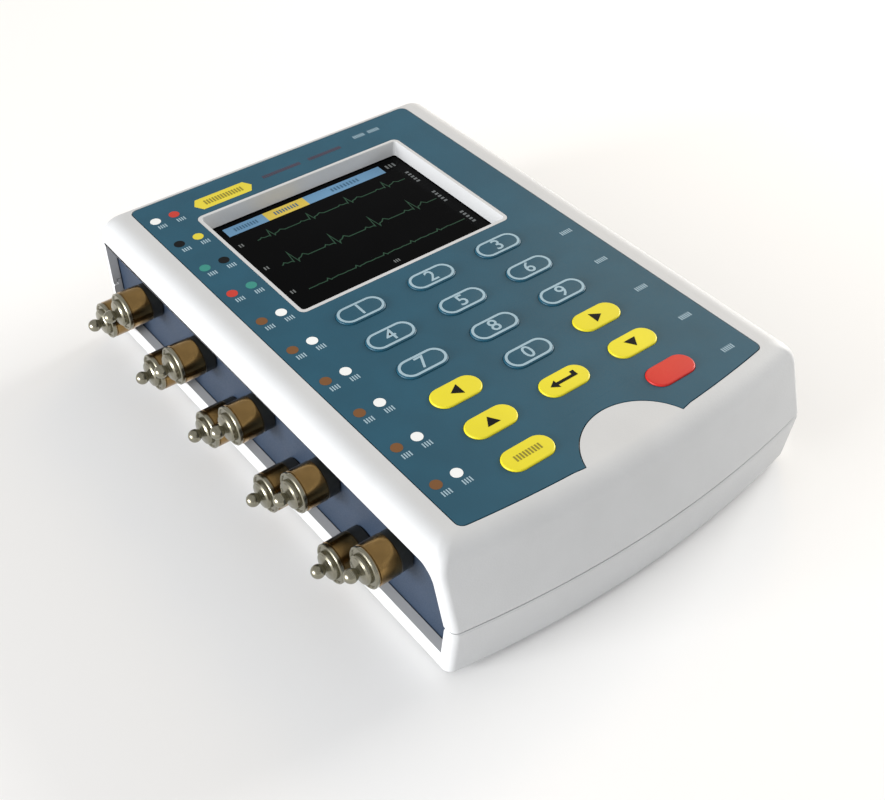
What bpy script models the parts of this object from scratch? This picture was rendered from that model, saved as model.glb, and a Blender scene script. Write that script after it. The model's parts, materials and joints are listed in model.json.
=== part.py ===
"""Handheld patient simulator: a two-part plastic case with a membrane keypad, a recessed colour
display, ten lead posts along its left side and five round sockets along its right side.

Units are metres. The origin is at the centre of the case's underside, +X is to the right of
someone reading the display, +Y points to the display end and +Z points up out of the keypad.
"""

import math

import bmesh
import bpy
from mathutils import Matrix, Vector

MM = 0.001

# Fits
GAP = 0.3 * MM            # between two pieces that rest on or pass through each other
BORE_GAP = 0.3 * MM       # radial, between a screw or pin and its hole

# Case
CASE_WIDTH = 122.2 * MM
CASE_LENGTH = 177 * MM
CASE_HEIGHT = 40 * MM
PARTING_Z = 18 * MM
WALL = 2.7 * MM
FLOOR = 2.5 * MM
SIDE_ROUND = 7 * MM       # top edges along both sides
BACK_ROUND = 3 * MM       # top edge and upright corners at the display end
FOOT_ROUND = 2 * MM       # edges around the underside
FRONT_CORNER = 2.5 * MM   # upright corners at the keypad end
FRONT_BOW = 330 * MM      # plan radius of the bowed front
FRONT_DRAFT = math.radians(6)
FRONT_LEAN = math.radians(18)
FRONT_SHOULDER = 7 * MM
LIP_HEIGHT = 1.5 * MM     # tongue on the lower shell that locates the upper one

# Membrane keypad
OVERLAY_WIDTH = 102.2 * MM
OVERLAY_BACK = 85.4 * MM
OVERLAY_FRONT = -76.0 * MM
OVERLAY_BOW = 350 * MM
OVERLAY_CORNER = 2 * MM
OVERLAY_THICK = 1.0 * MM
CIRCUIT_THICK = 0.6 * MM
DECK_THICK = 2.6 * MM     # case skin left under the keypad
NOTCH_Y = -81.4 * MM
NOTCH_RADIUS = 17.5 * MM
TAIL_WIDTH = 16 * MM
TAIL_THICK = 0.4 * MM
TAIL_Y = -2.0 * MM

# Keys
KEYS_X = 0.8 * MM
KEYS_BACK_Y = 4.9 * MM
KEY_PITCH_X = 24.4 * MM
KEY_PITCH_Y = 13.8 * MM
KEY_LENGTH = 15.2 * MM
KEY_WIDTH = 7.6 * MM
KEY_PROUD = 0.5 * MM
KEY_TRAVEL = 0.45 * MM
KEY_EDGE = 0.3 * MM
KEY_ROWS = (
    ("key_1", "key_2", "key_3"),
    ("key_4", "key_5", "key_6"),
    ("key_7", "key_8", "key_9"),
    ("key_left", "key_0", "key_right"),
    ("key_up", "key_enter", "key_down"),
    ("key_escape", None, "key_power"),
)

# Display
WINDOW_X = 0.1 * MM
WINDOW_Y = 42.3 * MM
WINDOW_WIDTH = 72.1 * MM
WINDOW_LENGTH = 55.2 * MM
WINDOW_CORNER = 1.0 * MM
WINDOW_TAPER = 0.5 * MM   # how far each wall leans in on its way down
WINDOW_RIM = 0.6 * MM     # case plastic standing between the well and the keypad
LENS_MARGIN = 4.0 * MM
LENS_THICK = 1.2 * MM
LCD_WIDTH = 76.9 * MM
LCD_LENGTH = 63.9 * MM
LCD_THICK = 3.2 * MM
BRACKET_WIDTH = 90 * MM
BRACKET_LENGTH = 66 * MM
BRACKET_THICK = 1.0 * MM
BRACKET_PIN_RADIUS = 1.3 * MM
BRACKET_PIN_INSET = 2.5 * MM
FLEX_WIDTH = 20 * MM
FLEX_THICK = 0.4 * MM
FLEX_BEND = 3 * MM

# Side openings and their panels
OPENING_SILL_Z = 7.3 * MM
OPENING_TOP_Z = 33.9 * MM
OPENING_BACK_Y = 84.5 * MM
OPENING_MARGIN = 0.3 * MM # behind the inner corner at the keypad end
OPENING_ROUND = 6 * MM
PANEL_THICK = 2.0 * MM
PANEL_LAP = 0.7 * MM      # how far a panel reaches behind the edge of its opening
KEEPER_THICK = 1.5 * MM
KEEPER_HEIGHT = 5.5 * MM
BOARD_THICK = 1.6 * MM

# Lead posts
POST_COUNT = 10
POST_BACK_Y = 76.5 * MM
POST_PITCH = 15.05 * MM
POST_LOW_Z = 13 * MM
POST_HIGH_Z = 26 * MM
POST_SHANK_RADIUS = 1.9 * MM
POST_NECK_RADIUS = 5.0 * MM
POST_NECK_LENGTH = 3.2 * MM
POST_RADIUS = 5.6 * MM
POST_BARREL_LENGTH = 7.6 * MM
POST_TIP_RADIUS = 2.1 * MM
POST_TIP_LENGTH = 5.3 * MM

# Round sockets, data socket and charging jack
SOCKET_COUNT = 5
SOCKET_BACK_Y = -2.0 * MM
SOCKET_PITCH = 16.3 * MM
SOCKET_Z = 19.2 * MM
SOCKET_FLANGE_RADIUS = 6.5 * MM
SOCKET_FLANGE_THICK = 1.5 * MM
SOCKET_RADIUS = 5.0 * MM
SOCKET_DEPTH = 7.0 * MM
SOCKET_GROOVE_OUTER = 4.4 * MM
SOCKET_GROOVE_INNER = 3.4 * MM
SOCKET_GROOVE_DEPTH = 4.0 * MM
USB_Y = 36 * MM
USB_WIDTH = 8.4 * MM
USB_HEIGHT = 4.6 * MM
USB_MOUTH_MARGIN = 0.7 * MM
USB_MOUTH_DEPTH = 5 * MM
JACK_Y = 60 * MM
JACK_RADIUS = 4.6 * MM
JACK_BORE_RADIUS = 2.9 * MM
JACK_PIN_RADIUS = 1.0 * MM
JACK_BORE_DEPTH = 5.5 * MM
CONNECTOR_PROUD = 0.6 * MM

# Main board and what it carries
MAIN_WIDTH = 78 * MM
MAIN_FRONT_Y = -14 * MM
MAIN_BACK_Y = 74 * MM
MAIN_Z = 12 * MM
STANDOFF_RADIUS = 3.0 * MM
STANDOFF_PIN_RADIUS = 1.2 * MM
STANDOFF_INSET = 6 * MM
BUZZER_RADIUS = 6 * MM
BUZZER_HEIGHT = 5.5 * MM
BUZZER_X = 26 * MM
BUZZER_Y = 8 * MM

# Battery bay
BATTERY_LENGTH = 72 * MM
BATTERY_WIDTH = 36 * MM
BATTERY_HEIGHT = 18.5 * MM
BATTERY_Y = -48 * MM
BAY_MARGIN = 2.0 * MM
COVER_THICK = 2.2 * MM
COVER_BACK_MARGIN = 8 * MM
COVER_SCREW_INSET = 3.5 * MM
LEDGE_WIDTH = 16 * MM
LEDGE_THICK = 2.0 * MM
LEDGE_REACH = 6 * MM
TAB_WIDTH = 8 * MM
TAB_REACH = 2.2 * MM
TAB_X = 22 * MM

# Fasteners and feet
BOSS_X = 42 * MM
BOSS_BACK_Y = 80 * MM
BOSS_FRONT_Y = -70 * MM
BOSS_RADIUS = 4.2 * MM
SCREW_RADIUS = 1.4 * MM
SCREW_HEAD_RADIUS = 2.75 * MM
SCREW_HEAD_THICK = 1.8 * MM
SCREW_SEAT_Z = 6 * MM
SCREW_LENGTH = 21 * MM
COVER_SCREW_RADIUS = 1.1 * MM
COVER_SCREW_HEAD_RADIUS = 2.3 * MM
COVER_SCREW_HEAD_THICK = 0.9 * MM
COVER_SCREW_LENGTH = 5 * MM
DRIVER_SLOT = 0.6 * MM
FOOT_X = 49 * MM
FOOT_Y = 60 * MM
FOOT_RADIUS = 5 * MM
FOOT_POCKET = 1.3 * MM
FOOT_PROUD = 1.0 * MM

# Levels that follow from the sizes above
DECK_TOP_Z = CASE_HEIGHT - OVERLAY_THICK - CIRCUIT_THICK - 2 * GAP
DECK_UNDER_Z = DECK_TOP_Z - DECK_THICK
LENS_Z = DECK_UNDER_Z - GAP - LENS_THICK
LCD_Z = LENS_Z - GAP - LCD_THICK
BRACKET_Z = LCD_Z - GAP - BRACKET_THICK
PANEL_FACE_X = CASE_WIDTH / 2 - WALL - GAP
PANEL_BACK_X = PANEL_FACE_X - PANEL_THICK
BAY_FRONT_Y = BATTERY_Y - BATTERY_WIDTH / 2 - BAY_MARGIN
BAY_BACK_Y = BATTERY_Y + BATTERY_WIDTH / 2 + COVER_BACK_MARGIN
BAY_HALF_X = BATTERY_LENGTH / 2 + BAY_MARGIN

ROUND_STEPS = 12          # facets around a small round piece
CORNER_STEPS = 4          # facets around a case corner
BOW_STEPS = 8
OVERSHOOT = 1 * MM        # how far a cutter runs past the face it opens


# Scene

def clear_scene():
    for scene_object in list(bpy.data.objects):
        bpy.data.objects.remove(scene_object, do_unlink=True)


def new_collection(name):
    collection = bpy.data.collections.new(name)
    bpy.context.scene.collection.children.link(collection)
    return collection


def new_material(name, color, roughness, metallic=0.0, alpha=1.0):
    material = bpy.data.materials.new(name)
    material.use_nodes = True
    shader = material.node_tree.nodes["Principled BSDF"]
    shader.inputs["Base Color"].default_value = (*color, 1.0)
    shader.inputs["Roughness"].default_value = roughness
    shader.inputs["Metallic"].default_value = metallic
    shader.inputs["Alpha"].default_value = alpha
    return material


clear_scene()
PARTS = new_collection("patient_simulator")
CUTTERS = new_collection("cutters")
ROOT = bpy.data.objects.new("patient_simulator_origin", None)
PARTS.objects.link(ROOT)

CASE_PLASTIC = new_material("case_plastic", (0.72, 0.73, 0.73), 0.45)
OVERLAY_FILM = new_material("overlay_film", (0.027, 0.114, 0.184), 0.35)
KEY_BLUE = new_material("key_blue", (0.027, 0.114, 0.184), 0.35)
KEY_YELLOW = new_material("key_yellow", (0.90, 0.74, 0.02), 0.35)
KEY_RED = new_material("key_red", (0.70, 0.02, 0.02), 0.35)
PANEL_PLASTIC = new_material("panel_plastic", (0.065, 0.10, 0.20), 0.5)
NICKEL = new_material("nickel", (0.62, 0.58, 0.48), 0.22, 1.0)
STEEL = new_material("steel", (0.55, 0.55, 0.56), 0.35, 1.0)
CLEAR = new_material("clear_acrylic", (0.02, 0.02, 0.02), 0.08, 0.0, 0.35)
BLACK_PLASTIC = new_material("black_plastic", (0.02, 0.02, 0.022), 0.5)
BOARD_GREEN = new_material("board_green", (0.02, 0.16, 0.06), 0.5)
CIRCUIT_FILM = new_material("circuit_film", (0.45, 0.46, 0.44), 0.5)
BATTERY_WRAP = new_material("battery_wrap", (0.04, 0.12, 0.35), 0.4)
RUBBER = new_material("rubber", (0.03, 0.03, 0.03), 0.8)


# Outlines, as lists of points in a plane

def arc(centre, radius, start, end, steps):
    """Points from one angle to another, both included."""
    angles = [start + (end - start) * i / steps for i in range(steps + 1)]
    return [(centre[0] + radius * math.cos(a), centre[1] + radius * math.sin(a)) for a in angles]


def circle(centre, radius, steps=ROUND_STEPS):
    return arc(centre, radius, 0, 2 * math.pi, steps)[:-1]


def rectangle(centre, width, length):
    (x, y), half_x, half_y = centre, width / 2, length / 2
    return [(x - half_x, y - half_y), (x + half_x, y - half_y),
            (x + half_x, y + half_y), (x - half_x, y + half_y)]


def stadium(centre, length, width, steps=6):
    """A slot shape that is longest along X."""
    reach = (length - width) / 2
    quarter = math.pi / 2
    right = arc((centre[0] + reach, centre[1]), width / 2, -quarter, quarter, steps)
    left = arc((centre[0] - reach, centre[1]), width / 2, quarter, 3 * quarter, steps)
    return right + left


def rounded(points, radii, steps=4):
    """The polygon with an arc in place of each corner whose radius isn't zero."""
    outline = []
    for i, radius in enumerate(radii):
        corner = Vector(points[i])
        if not radius:
            outline.append(tuple(corner))
            continue
        before = (Vector(points[i - 1]) - corner).normalized()
        after = (Vector(points[(i + 1) % len(points)]) - corner).normalized()
        half_angle = before.angle(after) / 2
        centre = corner + (before + after).normalized() * radius / math.sin(half_angle)
        first = corner + before * radius / math.tan(half_angle) - centre
        sweep = first.angle_signed(corner + after * radius / math.tan(half_angle) - centre)
        for step in range(steps + 1):
            turn = Matrix.Rotation(-sweep * step / steps, 2)
            outline.append(tuple(centre + turn @ first))
    return outline


# Solids

def mesh_object(name, mesh, material=None, collection=PARTS):
    scene_object = bpy.data.objects.new(name, mesh)
    collection.objects.link(scene_object)
    if collection is CUTTERS:
        scene_object.hide_render = True
        scene_object.display_type = "WIRE"
    else:
        scene_object.parent = ROOT
    if material and not mesh.materials:
        mesh.materials.append(material)
    return scene_object


def mesh_from(build):
    """A mesh filled by a function that works on a bmesh, with its faces turned outwards."""
    shape = bmesh.new()
    build(shape)
    bmesh.ops.recalc_face_normals(shape, faces=shape.faces)
    mesh = bpy.data.meshes.new("shape")
    shape.to_mesh(mesh)
    shape.free()
    return mesh


def box(name, low, high, material=None, collection=CUTTERS):
    size = [b - a for a, b in zip(low, high)]
    centre = [(a + b) / 2 for a, b in zip(low, high)]
    place = Matrix.Translation(centre) @ Matrix.Diagonal((*size, 1.0))
    mesh = mesh_from(lambda shape: bmesh.ops.create_cube(shape, size=1.0, matrix=place))
    return mesh_object(name, mesh, material, collection)


def cylinder(name, centre_xy, radius, low_z, high_z, material=None, collection=CUTTERS, steps=ROUND_STEPS):
    place = Matrix.Translation((*centre_xy, (low_z + high_z) / 2))
    mesh = mesh_from(lambda shape: bmesh.ops.create_cone(
        shape, cap_ends=True, segments=steps, radius1=radius, radius2=radius,
        depth=high_z - low_z, matrix=place))
    return mesh_object(name, mesh, material, collection)


def plate(name, outline, holes, low, high, material=None, collection=PARTS, upright=False):
    """A flat outline with holes and a thickness. An upright one lies in the YZ plane, across X."""
    curve = bpy.data.curves.new(name, "CURVE")
    curve.dimensions = "2D"
    curve.fill_mode = "BOTH"
    curve.extrude = (high - low) / 2
    for loop in [outline, *holes]:
        spline = curve.splines.new("POLY")
        spline.points.add(len(loop) - 1)
        for point, place in zip(spline.points, loop):
            point.co = (*place, 0, 1)
        spline.use_cyclic_u = True
    guide = bpy.data.objects.new(name + "_curve", curve)
    CUTTERS.objects.link(guide)
    graph = bpy.context.evaluated_depsgraph_get()
    mesh = bpy.data.meshes.new_from_object(guide.evaluated_get(graph))
    bpy.data.objects.remove(guide)
    turn = Matrix(((0, 0, 1, 0), (1, 0, 0, 0), (0, 1, 0, 0), (0, 0, 0, 1))) if upright else Matrix()
    shift = Matrix.Translation((0, 0, (low + high) / 2))

    def weld(shape):
        shape.from_mesh(mesh)
        bmesh.ops.remove_doubles(shape, verts=shape.verts, dist=0.001 * MM)
        bmesh.ops.transform(shape, matrix=turn @ shift, verts=shape.verts)

    welded = mesh_from(weld)
    bpy.data.meshes.remove(mesh)
    return mesh_object(name, welded, material, collection)


def loft(name, rings, material=None, collection=PARTS):
    """A closed solid through level rings that each have as many points as the next."""

    def build(shape):
        levels = [[shape.verts.new(point) for point in ring] for ring in rings]
        shape.faces.new(levels[0])
        shape.faces.new(levels[-1])
        for lower, upper in zip(levels, levels[1:]):
            for i in range(len(lower)):
                shape.faces.new((lower[i - 1], lower[i], upper[i], upper[i - 1]))

    return mesh_object(name, mesh_from(build), material, collection)


def turned_mesh(profile, material):
    """The half section of a turned piece, as (radius, height) points from its top down to its foot."""
    mesh = bpy.data.meshes.new("profile")
    edges = [(i, i + 1) for i in range(len(profile) - 1)]
    mesh.from_pydata([(radius, 0, height) for radius, height in profile], edges, [])
    mesh.materials.append(material)
    return mesh


def turned(name, mesh, location, rotation=(0, 0, 0), steps=ROUND_STEPS, collection=PARTS):
    scene_object = mesh_object(name, mesh, None, collection)
    scene_object.location = location
    scene_object.rotation_euler = rotation
    screw = scene_object.modifiers.new("turn", "SCREW")
    screw.steps = steps
    screw.render_steps = steps
    screw.use_merge_vertices = True
    screw.merge_threshold = 0.005 * MM
    screw.use_smooth_shade = True
    return scene_object


def combine(target, operation, *tools):
    for tool in tools:
        modifier = target.modifiers.new(tool.name, "BOOLEAN")
        modifier.operation = operation
        modifier.object = tool


def cut(target, *tools):
    combine(target, "DIFFERENCE", *tools)


def add(target, *tools):
    combine(target, "UNION", *tools)


# Case form

def edge_inset(z, top_round):
    """How far an upright wall has drawn in at a level, because of its rounded top and foot."""
    if z > CASE_HEIGHT - top_round:
        rise = z - (CASE_HEIGHT - top_round)
        return top_round - math.sqrt(max(top_round ** 2 - rise ** 2, 0))
    if z < FOOT_ROUND:
        return FOOT_ROUND - math.sqrt(FOOT_ROUND ** 2 - (FOOT_ROUND - z) ** 2)
    return 0.0


def front_inset(z):
    """How far the bowed front has drawn in from the parting line at a level."""
    if z <= PARTING_Z:
        return (PARTING_Z - z) * math.tan(FRONT_DRAFT) + edge_inset(z, FOOT_ROUND)
    full = (CASE_HEIGHT - PARTING_Z) * math.tan(FRONT_LEAN)
    tangent = FRONT_SHOULDER * math.tan((math.pi / 2 - FRONT_LEAN) / 2)
    if z < CASE_HEIGHT - tangent * math.cos(FRONT_LEAN):
        return (z - PARTING_Z) * math.tan(FRONT_LEAN)
    rise = z - (CASE_HEIGHT - FRONT_SHOULDER)
    return full + tangent - math.sqrt(max(FRONT_SHOULDER ** 2 - rise ** 2, 0))


def front_corner_centre(z, inset=0.0):
    """(x, y, radius) of the upright corner between the right side and the bowed front."""
    radius = max(FRONT_CORNER - inset, 1 * MM)
    x = CASE_WIDTH / 2 - edge_inset(z, SIDE_ROUND) - inset - radius
    reach = FRONT_BOW - front_inset(z) - inset - radius
    return x, -CASE_LENGTH / 2 + FRONT_BOW - math.sqrt(reach ** 2 - x ** 2), radius


def case_ring(z, inset=0.0):
    """The case's plan outline at a level, drawn in by an inset."""
    x, y, radius = front_corner_centre(z, inset)
    bow_y = -CASE_LENGTH / 2 + FRONT_BOW
    slant = math.atan2(y - bow_y, x)
    back_radius = max(BACK_ROUND - inset, 1 * MM)
    back_x = CASE_WIDTH / 2 - edge_inset(z, SIDE_ROUND) - inset - back_radius
    back_y = CASE_LENGTH / 2 - edge_inset(z, BACK_ROUND) - inset - back_radius
    quarter = math.pi / 2
    ring = arc((back_x, back_y), back_radius, 0, quarter, CORNER_STEPS)
    ring += arc((-back_x, back_y), back_radius, quarter, math.pi, CORNER_STEPS)
    ring += arc((-x, y), radius, -math.pi, -math.pi - slant, CORNER_STEPS)
    bow_radius = FRONT_BOW - front_inset(z) - inset
    ring += arc((0, bow_y), bow_radius, -math.pi - slant, slant, BOW_STEPS)[1:-1]
    ring += arc((x, y), radius, slant, 0, CORNER_STEPS)
    return [(*point, z) for point in ring]


def case_loft(name, low_z, high_z, inset=0.0, material=None, collection=CUTTERS):
    """The case's form between two levels, with a ring wherever its walls bend."""
    bends = [FOOT_ROUND * (1 - math.cos(math.radians(a))) for a in (0, 30, 60, 90)]
    bends.append(PARTING_Z)
    bends += [CASE_HEIGHT - SIDE_ROUND * (1 - math.sin(math.radians(a))) for a in range(0, 91, 15)]
    levels = [z for z in bends if low_z + GAP / 2 < z < high_z - GAP / 2]
    rings = [case_ring(z, inset) for z in [low_z, *levels, high_z]]
    return loft(name, rings, material, collection)


def overlay_outline(grow=0.0):
    """The keypad's outline: a bowed front edge with a round notch in its middle."""
    half = OVERLAY_WIDTH / 2 + grow
    bow_y = OVERLAY_FRONT - grow + OVERLAY_BOW
    notch_radius = NOTCH_RADIUS - grow

    def bow(x):
        return bow_y - math.sqrt(OVERLAY_BOW ** 2 - x ** 2)

    mouth_y = bow(KEYS_X)
    mouth = math.asin((mouth_y - NOTCH_Y) / notch_radius)
    notch = arc((KEYS_X, NOTCH_Y), notch_radius, math.pi - mouth, mouth, 10)
    steps = 4
    left = [-half + (notch[0][0] + half) * i / steps for i in range(steps)]
    right = [notch[-1][0] + (half - notch[-1][0]) * i / steps for i in range(1, steps + 1)]
    points = [(x, bow(x)) for x in left] + notch + [(x, bow(x)) for x in right]
    points += [(half, OVERLAY_BACK + grow), (-half, OVERLAY_BACK + grow)]
    corners = {0, len(points) - 3, len(points) - 2, len(points) - 1}
    radii = [OVERLAY_CORNER + grow if i in corners else 0 for i in range(len(points))]
    return rounded(points, radii, 3)


def window_outline(grow=0.0):
    outline = rectangle((WINDOW_X, WINDOW_Y), WINDOW_WIDTH + 2 * grow, WINDOW_LENGTH + 2 * grow)
    return rounded(outline, [WINDOW_CORNER + max(grow, 0)] * len(outline), 2)


def opening_outline(grow=0.0):
    """A side opening, as (y, z) points. Its front end runs parallel to the case's front."""
    low, high = OPENING_SILL_Z - grow, OPENING_TOP_Z + grow

    def front_y(z):
        return front_corner_centre(z, WALL)[1] + OPENING_MARGIN - grow

    points = [(OPENING_BACK_Y + grow, low), (OPENING_BACK_Y + grow, high),
              (front_y(high), high), (front_y(PARTING_Z), PARTING_Z), (front_y(low), low)]
    return rounded(points, [0, 0, OPENING_ROUND, 0, 0], 4)


def key_places():
    for row, names in enumerate(KEY_ROWS):
        for column, name in enumerate(names):
            if name:
                x = KEYS_X + (column - 1) * KEY_PITCH_X
                yield name, (x, KEYS_BACK_Y - row * KEY_PITCH_Y)


def post_places():
    """(y, z) of each lead post, from the display end: a low one, then a high one."""
    for i in range(POST_COUNT):
        yield POST_BACK_Y - i * POST_PITCH, POST_HIGH_Z if i % 2 else POST_LOW_Z


def socket_places():
    for i in range(SOCKET_COUNT):
        yield SOCKET_BACK_Y - i * SOCKET_PITCH, SOCKET_Z


def boss_places():
    for side in (-1, 1):
        for y in (BOSS_BACK_Y, BOSS_FRONT_Y):
            yield side * BOSS_X, y


def bracket_pin_places():
    for side in (-1, 1):
        for end in (-1, 1):
            x = WINDOW_X + side * (BRACKET_WIDTH / 2 - BRACKET_PIN_INSET)
            yield x, WINDOW_Y + end * (BRACKET_LENGTH / 2 - BRACKET_PIN_INSET)


def standoff_places():
    for side in (-1, 1):
        for y in (MAIN_FRONT_Y + STANDOFF_INSET, MAIN_BACK_Y - STANDOFF_INSET):
            yield side * (MAIN_WIDTH / 2 - STANDOFF_INSET), y


def foot_places():
    for side in (-1, 1):
        for end in (-1, 1):
            yield side * FOOT_X, end * FOOT_Y


# Cutters that both halves of the case share

def opening_cutter(side):
    inner, outer = CASE_WIDTH / 2 - WALL - OVERSHOOT, CASE_WIDTH / 2 + OVERSHOOT
    low, high = sorted((side * inner, side * outer))
    name = "opening_right" if side > 0 else "opening_left"
    return plate(name, opening_outline(), [], low, high, None, CUTTERS, upright=True)


OPENINGS = [opening_cutter(-1), opening_cutter(1)]


def keeper(name, side, low_z, high_z):
    """A rib that stops a side panel from moving inwards."""
    outer = PANEL_BACK_X - GAP
    low, high = sorted((side * outer, side * (outer - KEEPER_THICK)))
    front = front_corner_centre(PARTING_Z)[1] + FRONT_CORNER
    return box(name, (low, front, low_z), (high, OPENING_BACK_Y - FRONT_CORNER, high_z))


def make_top_case():
    case = case_loft("top_case", PARTING_Z + GAP / 2, CASE_HEIGHT, 0, CASE_PLASTIC, PARTS)
    under = PARTING_Z - OVERSHOOT
    cut(case, case_loft("top_hollow", under, DECK_UNDER_Z, WALL))
    lip_inset = WALL / 2 - GAP / 2
    cut(case, case_loft("top_rebate", under, PARTING_Z + LIP_HEIGHT + GAP, lip_inset))
    for i, (x, y) in enumerate(boss_places()):
        add(case, cylinder(f"top_boss_{i}", (x, y), BOSS_RADIUS, PARTING_Z + GAP / 2, DECK_UNDER_Z + DECK_THICK / 2))
    for i, place in enumerate(bracket_pin_places()):
        low_z = BRACKET_Z - GAP
        add(case, cylinder(f"bracket_pin_{i}", place, BRACKET_PIN_RADIUS, low_z, DECK_UNDER_Z + DECK_THICK / 2))
    for side in (-1, 1):
        name = f"top_keeper_{side + 1}"
        add(case, keeper(name, side, OPENING_TOP_Z - KEEPER_HEIGHT / 4, DECK_UNDER_Z + DECK_THICK / 2))
    cut(case, *OPENINGS)
    island = [window_outline(WINDOW_RIM)]
    cut(case, plate("overlay_pocket", overlay_outline(GAP), island, DECK_TOP_Z, CASE_HEIGHT + OVERSHOOT,
                    None, CUTTERS))
    slope = WINDOW_TAPER / (CASE_HEIGHT - DECK_UNDER_Z)
    levels = (DECK_UNDER_Z - OVERSHOOT, CASE_HEIGHT + OVERSHOOT)
    rings = [[(*point, z) for point in window_outline((z - CASE_HEIGHT) * slope)] for z in levels]
    cut(case, loft("window_well", rings, None, CUTTERS))
    slot_half = (TAIL_WIDTH / 2 + GAP, TAIL_THICK / 2 + GAP)
    cut(case, box("tail_slot", (KEYS_X - slot_half[0], TAIL_Y - slot_half[1], DECK_UNDER_Z - OVERSHOOT),
                  (KEYS_X + slot_half[0], TAIL_Y + slot_half[1], DECK_TOP_Z + OVERSHOOT)))
    screw_end = SCREW_SEAT_Z + SCREW_LENGTH + OVERSHOOT
    for i, place in enumerate(boss_places()):
        cut(case, cylinder(f"top_bore_{i}", place, SCREW_RADIUS + BORE_GAP, PARTING_Z - OVERSHOOT, screw_end))
    return case


def make_bottom_case():
    case = case_loft("bottom_case", 0, PARTING_Z - GAP / 2, 0, CASE_PLASTIC, PARTS)
    lip_top = PARTING_Z + LIP_HEIGHT
    add(case, case_loft("lip", PARTING_Z - LIP_HEIGHT, lip_top, WALL / 2 + GAP / 2))
    cut(case, case_loft("bottom_hollow", FLOOR, lip_top + OVERSHOOT, WALL))
    for i, place in enumerate(boss_places()):
        add(case, cylinder(f"bottom_boss_{i}", place, BOSS_RADIUS, FLOOR / 2, PARTING_Z - GAP / 2))
    for i, place in enumerate(standoff_places()):
        add(case, cylinder(f"standoff_{i}", place, STANDOFF_RADIUS, FLOOR / 2, MAIN_Z - GAP))
        pin_top = MAIN_Z + BOARD_THICK + 1 * MM
        add(case, cylinder(f"standoff_pin_{i}", place, STANDOFF_PIN_RADIUS, MAIN_Z - 1 * MM, pin_top))
    for side in (-1, 1):
        add(case, keeper(f"bottom_keeper_{side + 1}", side, FLOOR / 2, FLOOR + KEEPER_HEIGHT))
    cut(case, *OPENINGS)
    cut(case, box("bay_opening", (-BAY_HALF_X, BAY_FRONT_Y, -OVERSHOOT), (BAY_HALF_X, BAY_BACK_Y, FLOOR + OVERSHOOT)))
    ledge_top = FLOOR + LEDGE_THICK
    add(case, box("cover_ledge", (-LEDGE_WIDTH / 2, BAY_BACK_Y - LEDGE_REACH, FLOOR),
                  (LEDGE_WIDTH / 2, BAY_BACK_Y + LEDGE_REACH, ledge_top)),
        box("ledge_root", (-LEDGE_WIDTH / 2, BAY_BACK_Y, FLOOR / 2),
            (LEDGE_WIDTH / 2, BAY_BACK_Y + LEDGE_REACH, ledge_top)))
    cut(case, cylinder("ledge_hole", (0, BAY_BACK_Y - COVER_SCREW_INSET), COVER_SCREW_RADIUS + BORE_GAP,
                       0, ledge_top + OVERSHOOT))
    for i, place in enumerate(boss_places()):
        cut(case, cylinder(f"head_bore_{i}", place, SCREW_HEAD_RADIUS + BORE_GAP, -OVERSHOOT, SCREW_SEAT_Z))
        cut(case, cylinder(f"screw_bore_{i}", place, SCREW_RADIUS + BORE_GAP, 0, PARTING_Z + OVERSHOOT))
    for i, place in enumerate(foot_places()):
        cut(case, cylinder(f"foot_pocket_{i}", place, FOOT_RADIUS + GAP, -OVERSHOOT, FOOT_POCKET))
    return case


def make_feet():
    top, foot, edge = FOOT_POCKET - GAP, -FOOT_PROUD, 0.5 * MM
    profile = [(0, top), (FOOT_RADIUS, top), (FOOT_RADIUS, foot + edge), (FOOT_RADIUS - edge, foot), (0, foot)]
    mesh = turned_mesh(profile, RUBBER)
    for i, place in enumerate(foot_places()):
        turned(f"foot_{i + 1}", mesh, (*place, 0))


def make_keypad():
    holes = [window_outline(WINDOW_RIM + GAP)]
    holes += [stadium(place, KEY_LENGTH + 2 * GAP, KEY_WIDTH + 2 * GAP) for _, place in key_places()]
    low_z = CASE_HEIGHT - OVERLAY_THICK
    plate("keypad_overlay", overlay_outline(), holes, low_z, CASE_HEIGHT, OVERLAY_FILM)
    window = [window_outline(WINDOW_RIM + GAP)]
    circuit_z = DECK_TOP_Z + GAP
    circuit = plate("keypad_circuit", overlay_outline(), window, circuit_z, circuit_z + CIRCUIT_THICK, CIRCUIT_FILM)
    tail_foot = MAIN_Z + BOARD_THICK + 3 * MM
    add(circuit, box("circuit_tail", (KEYS_X - TAIL_WIDTH / 2, TAIL_Y - TAIL_THICK / 2, tail_foot),
                     (KEYS_X + TAIL_WIDTH / 2, TAIL_Y + TAIL_THICK / 2, circuit_z + CIRCUIT_THICK / 2)))


def key_material(name):
    if name == "key_power":
        return KEY_RED
    return KEY_BLUE if name[-1].isdigit() else KEY_YELLOW


def make_keys():
    """Each key is a pill that stands proud of the keypad, over the room it needs to travel."""
    foot_z = DECK_TOP_Z + GAP + CIRCUIT_THICK + KEY_TRAVEL + GAP / 2
    top_z = CASE_HEIGHT + KEY_PROUD
    for name, (x, y) in key_places():
        levels = ((foot_z, 0), (top_z - KEY_EDGE, 0), (top_z, KEY_EDGE))
        rings = [[(*point, z - foot_z) for point in stadium((0, 0), KEY_LENGTH - 2 * edge, KEY_WIDTH - 2 * edge)]
                 for z, edge in levels]
        key = loft(name, rings, key_material(name))
        key.location = (x, y, foot_z)


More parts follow.
